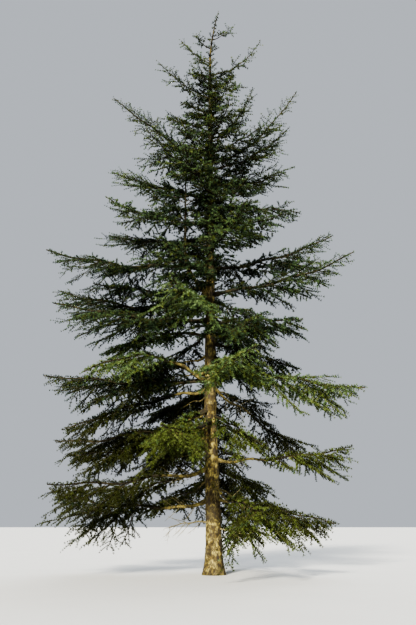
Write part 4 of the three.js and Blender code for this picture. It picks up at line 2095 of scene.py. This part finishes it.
# Painted light and shade by mass: sunlit tiers such as the low right, the front wings and the left tier
# take lighter tones, and shaded ones such as the low left take darker tones.
MASSES = (
    Mass("right_high", Side.RIGHT, 1, 8, PaintedLight(0.6), (RIGHT_FILL,), leader=True),
    Mass("right_middle", Side.RIGHT, 9, 12, PaintedLight(0.45)),
    Mass("right_low", Side.RIGHT, 13, 13, PaintedLight(3.1, -0.5)),
    Mass("right_drooping", Side.RIGHT, 14, 14, PaintedLight(0.05)),
    Mass("right_arch", Side.RIGHT, 15, 15, PaintedLight(2.4, 0.3)),
    Mass("right_lowest", Side.RIGHT, 16, 16, PaintedLight(0.75)),
    Mass("left_high", Side.LEFT, 1, 8, PaintedLight(0.6), (SECOND_STEM,)),
    Mass("left_middle", Side.LEFT, 9, 12, PaintedLight(-0.1), (LEFT_FILL,)),
    Mass("left_tier", Side.LEFT, 13, 14, PaintedLight(2.1, 1.5), (FRONT_TIER,)),
    Mass("left_dark", Side.LEFT, 15, 15, PaintedLight(-0.65), (LEFT_DROOPING,)),
    Mass("left_lowest", Side.LEFT, 16, 18, PaintedLight(-0.85), (LEFT_LOW,)),
    Mass("front_high", Side.FRONT, 1, 4, PaintedLight(1.6)),
    Mass("front_low", Side.FRONT, 5, 6, PaintedLight(2.3)),
    Mass("front_wings", Side.FRONT, 7, 7, PaintedLight(2.5, 0.7), FRONT_WINGS),
    Mass("front_lowest", Side.FRONT, 8, 8, PaintedLight(0.95)),
    Mass("back", Side.BACK, 1, 7, PaintedLight(1.1)),
)
# The limbs between the others take painted light and shade as well, the lowest inner limbs darkest.
FILL_PAINTED_LIGHTS = {
    "inner_lowest": PaintedLight(0.25),
    "inner_low": PaintedLight(1.05),
    "inner_high": PaintedLight(0.65),
    "front_between": PaintedLight(1.05),
    "back_between": PaintedLight(1.1),
}


def build_wood(
    palette: Palette, limbs: Sequence[Limb], dead: Sequence[Limb], added: Sequence[Limb]
) -> None:
    """Puts the boughs, the dead limbs, the dry twigs and the inner limbs in place.

    Args:
        palette: The materials.
        limbs: The limbs of the solids that carry foliage.
        dead: The dead limbs.
        added: The limbs between them.
    """
    boughs = Boughs(BoughPattern().build())
    barks = [palette.of(LIT_AND_LICHEN_BOUGH_BARK), palette.of(LIMB_BARK)]
    dry_wood = palette.of(DEAD_WOOD)
    take_place(boughs.build("second_stem", [SECOND_STEM], barks))
    for side in Side:
        mine = [limb for limb in limbs if limb.side is side]
        nodes = [f"bough_{limb.name}" for limb in mine if limb.bare]
        take_place(boughs.build(f"boughs_{side.name.lower()}", mine, barks), nodes)
    for limb in dead:
        thick = replace(limb, radius_share=DEAD_THICKNESS)
        piece = boughs.build(f"dead_limb_{limb.side.name.lower()}", [thick], [dry_wood])
        take_place(piece, [f"dead_limb_{limb.name}"])
    rule = DeadTwigs()
    dry = [rule.grown(limb, *rule.on_dead) for limb in dead]
    dry += [rule.grown(limb, rule.on_bare, limb.bare / limb.reach) for limb in limbs if limb.bare]
    twigs = joined(dry)
    parts = Parts()
    for strands in (twigs, FORKING.grown(twigs, PlateRule())):
        parts.add_tubes(strands, DRY_MESH)
    take_place(parts.piece("dry_twigs", [dry_wood]))
    slim = Boughs(BoughPattern(sides=6, steps=24).build())
    take_place(slim.build("boughs_inner", added, barks))


def main() -> None:
    """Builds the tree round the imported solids."""
    logging.basicConfig(level=logging.INFO, format="%(message)s")
    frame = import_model()
    low, high = (np.array(corner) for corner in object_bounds())
    palette = Palette()
    Studio().build(palette)
    take_place(Trunk().build(palette), ["trunk"])

    limbs = limbs_of(LIVE_ROWS, 0)
    dead = limbs_of(DEAD_ROWS, len(limbs))
    fill = limbs_of(FILL_ROWS, FILL_NUMBER)
    inner = UPPER_INNER.limbs(len(limbs) + len(dead))
    lower = LOWER_INNER.limbs(len(limbs) + len(dead) + len(inner))
    added = [*inner, *lower, *fill, *SINGLE_LIMBS]
    build_wood(palette, limbs, dead, added)

    crown = Crown([*limbs, *added, SECOND_STEM], low, high, palette)
    crown.grow()
    for mass in MASSES:
        mass.dress(crown, limbs)
    half = len(inner) // 2
    between = [[limb for limb in fill if limb.side is side] for side in FILL_ROWS]
    groups = (lower, inner[:half], inner[half:], *between)
    for (name, light), mine in zip(FILL_PAINTED_LIGHTS.items(), groups, strict=True):
        crown.dress(name, [limb.index for limb in mine], light)

    LOG.info("%d nodes stood for", len(frame["nodes"]))


if __name__ == "__main__":
    main()
